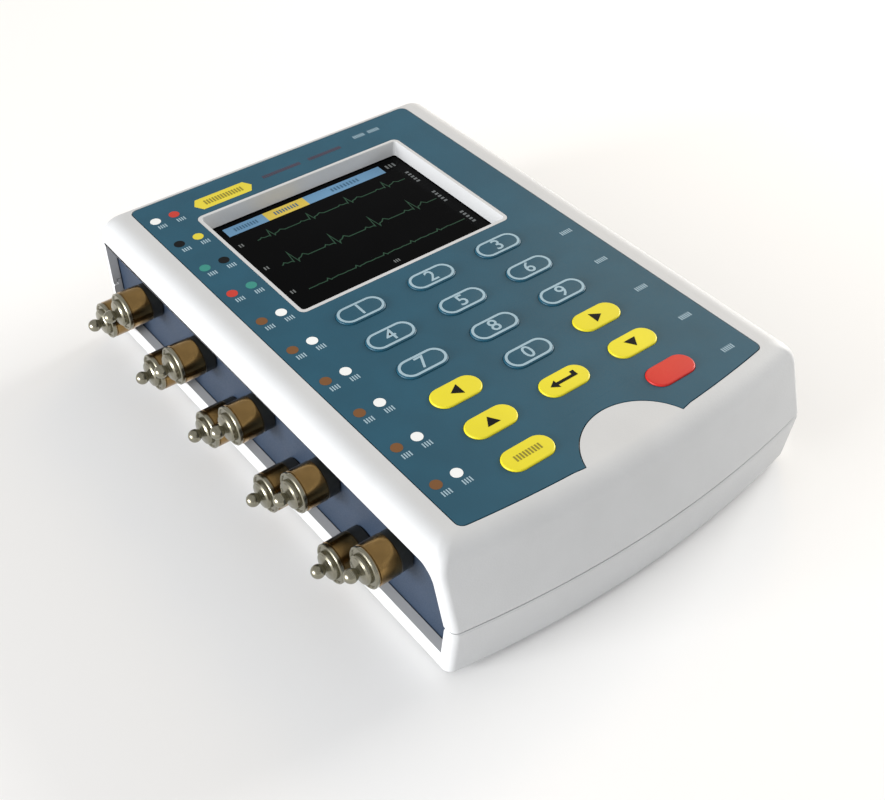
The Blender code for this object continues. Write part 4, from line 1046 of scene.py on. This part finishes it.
def round_socket_mesh(radius, top, foot):
    core_top = top - SOCKET_CORE_DEPTH
    recess_foot = top - SOCKET_RECESS_DEPTH
    core_side = SOCKET_CORE_RADIUS + SOCKET_CORE_EDGE
    profile = [(0, core_top), (SOCKET_CORE_RADIUS, core_top), (core_side, core_top - SOCKET_CORE_EDGE),
               (core_side, recess_foot), (SOCKET_RECESS_RADIUS, recess_foot),
               (SOCKET_RECESS_RADIUS, top - SOCKET_RECESS_EDGE),
               (SOCKET_RECESS_RADIUS + SOCKET_RECESS_EDGE, top), (radius - SOCKET_EDGE, top)]
    profile += arc((radius - SOCKET_EDGE, top - SOCKET_EDGE), SOCKET_EDGE, QUARTER, 0, SOCKET_EDGE_STEPS)
    profile += [(radius, GAP), (SOCKET_BODY_RADIUS, GAP), (SOCKET_BODY_RADIUS, foot), (0, foot)]
    return turned_mesh(profile)


def make_round_sockets():
    """A black flange around a recess, with a core that carries brass contacts."""
    low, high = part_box(ROUND_SOCKETS[0])
    top, foot = high.x - PANEL_FACE_X, low.x - PANEL_FACE_X
    mesh = round_socket_mesh((high.y - low.y) / 2, top, foot)
    contact = turned_mesh([(radius * MM, height * MM) for radius, height in CONTACT_PROFILE], CONTACT_STEPS)
    for name in ROUND_SOCKETS:
        place = side_place(name, 1)
        socket = new_piece(f"{name}_body", mesh, SOCKET_BLACK, replaced=[name])
        socket.matrix_world = place
        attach(socket, "case")
        for j, spot in enumerate(circle((0, 0), CONTACT_CIRCLE, CONTACT_COUNT)):
            pin = new_piece(f"{name}_contact_{j + 1}", contact, BRASS)
            pin.matrix_world = place @ Matrix.Translation((*spot, top - CONTACT_DEPTH))
            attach(pin, "case")


def make_power_jack():
    low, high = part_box("power_jack")
    radius = (high.y - low.y) / 2
    top, foot = high.x - PANEL_FACE_X, low.x - PANEL_FACE_X
    bore_foot = top - JACK_BORE_DEPTH
    profile = [(pin_radius * MM, top - depth * MM) for pin_radius, depth in JACK_PIN]
    profile += [(JACK_PIN_RADIUS, bore_foot), (JACK_BORE_RADIUS, bore_foot),
                (JACK_BORE_RADIUS, top - JACK_EDGE), (JACK_BORE_RADIUS + JACK_EDGE, top),
                (radius - JACK_EDGE, top), (radius, top - JACK_EDGE), (radius, foot), (0, foot)]
    jack = new_piece("power_jack_body", turned_mesh(profile), SOCKET_BLACK, ["power_jack"])
    jack.matrix_world = side_place("power_jack", 1)
    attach(jack, "case")


# Studio, in metres and watts

STUDIO_REACH = 12.0
STUDIO_FLOOR_THICK = 0.02
WORLD_STRENGTH = 0.60
CENTRE = (0, 0, 0.02)
LIGHTS = (
    # name, place, target, size, power, colour
    ("left_light", (-1.10, 0.10, 0.18), CENTRE, (0.6, 0.3), 16, (1, 1, 1)),
    ("warm_card", (0.63, 0.43, 0.62), (0.045, -0.04, 0.04), (0.25, 0.25), 0.8, (1.0, 0.70, 0.30)),
    ("right_light", (1.10, 0.0, 0.35), CENTRE, (0.6, 0.4), 13, (1.0, 0.97, 0.92)),
)


def make_floor():
    material = surface("studio_floor", (0.93, 0.93, 0.93), 0.8, tint=0.0, gloss=0.2)
    level = cad_bounds[0][2]
    mesh = box_mesh((-STUDIO_REACH, -STUDIO_REACH, level - STUDIO_FLOOR_THICK),
                    (STUDIO_REACH, STUDIO_REACH, level))
    mesh.materials.append(material)
    floor = bpy.data.objects.new("studio_floor", mesh)
    bpy.context.scene.collection.objects.link(floor)


def make_light(name, place, target, size, power, color):
    light = bpy.data.lights.new(name, "AREA")
    light.shape = "RECTANGLE"
    light.size, light.size_y = size
    light.energy = power
    light.color = color
    lamp = bpy.data.objects.new(name, light)
    lamp.location = place
    lamp.rotation_euler = (Vector(target) - Vector(place)).to_track_quat("-Z", "Y").to_euler()
    bpy.context.scene.collection.objects.link(lamp)


def make_studio():
    make_floor()
    world = bpy.data.worlds.new("studio")
    world.use_nodes = True
    background = world.node_tree.nodes["Background"]
    background.inputs["Color"].default_value = (1.0, 1.0, 1.0, 1.0)
    background.inputs["Strength"].default_value = WORLD_STRENGTH
    bpy.context.scene.world = world
    bpy.context.scene.view_settings.view_transform = "Standard"
    for light in LIGHTS:
        make_light(*light)


def make_camera():
    camera = bpy.data.objects.new("camera", bpy.data.cameras.new("camera"))
    camera.data.lens = CAMERA_LENS
    camera.data.sensor_width = CAMERA_SENSOR
    camera.data.sensor_fit = "HORIZONTAL"
    camera.data.clip_start = CAMERA_NEAR
    camera.location = CAMERA_PLACE
    level = (CAMERA_TARGET - CAMERA_PLACE).to_track_quat("-Z", "Y")
    camera.rotation_mode = "QUATERNION"
    camera.rotation_quaternion = level @ Quaternion((0, 0, 1), CAMERA_ROLL)
    bpy.context.scene.collection.objects.link(camera)
    bpy.context.scene.camera = camera


make_camera()
make_studio()
dress_cad_nodes()
make_top_case()
make_bottom_case()
make_cover_grips()
make_feet()
make_overlay()
for key in KEY_NAMES:
    make_key(key)
make_lead_prints()
make_title_prints()
make_screen_picture()
make_lead_posts()
make_round_sockets()
make_power_jack()
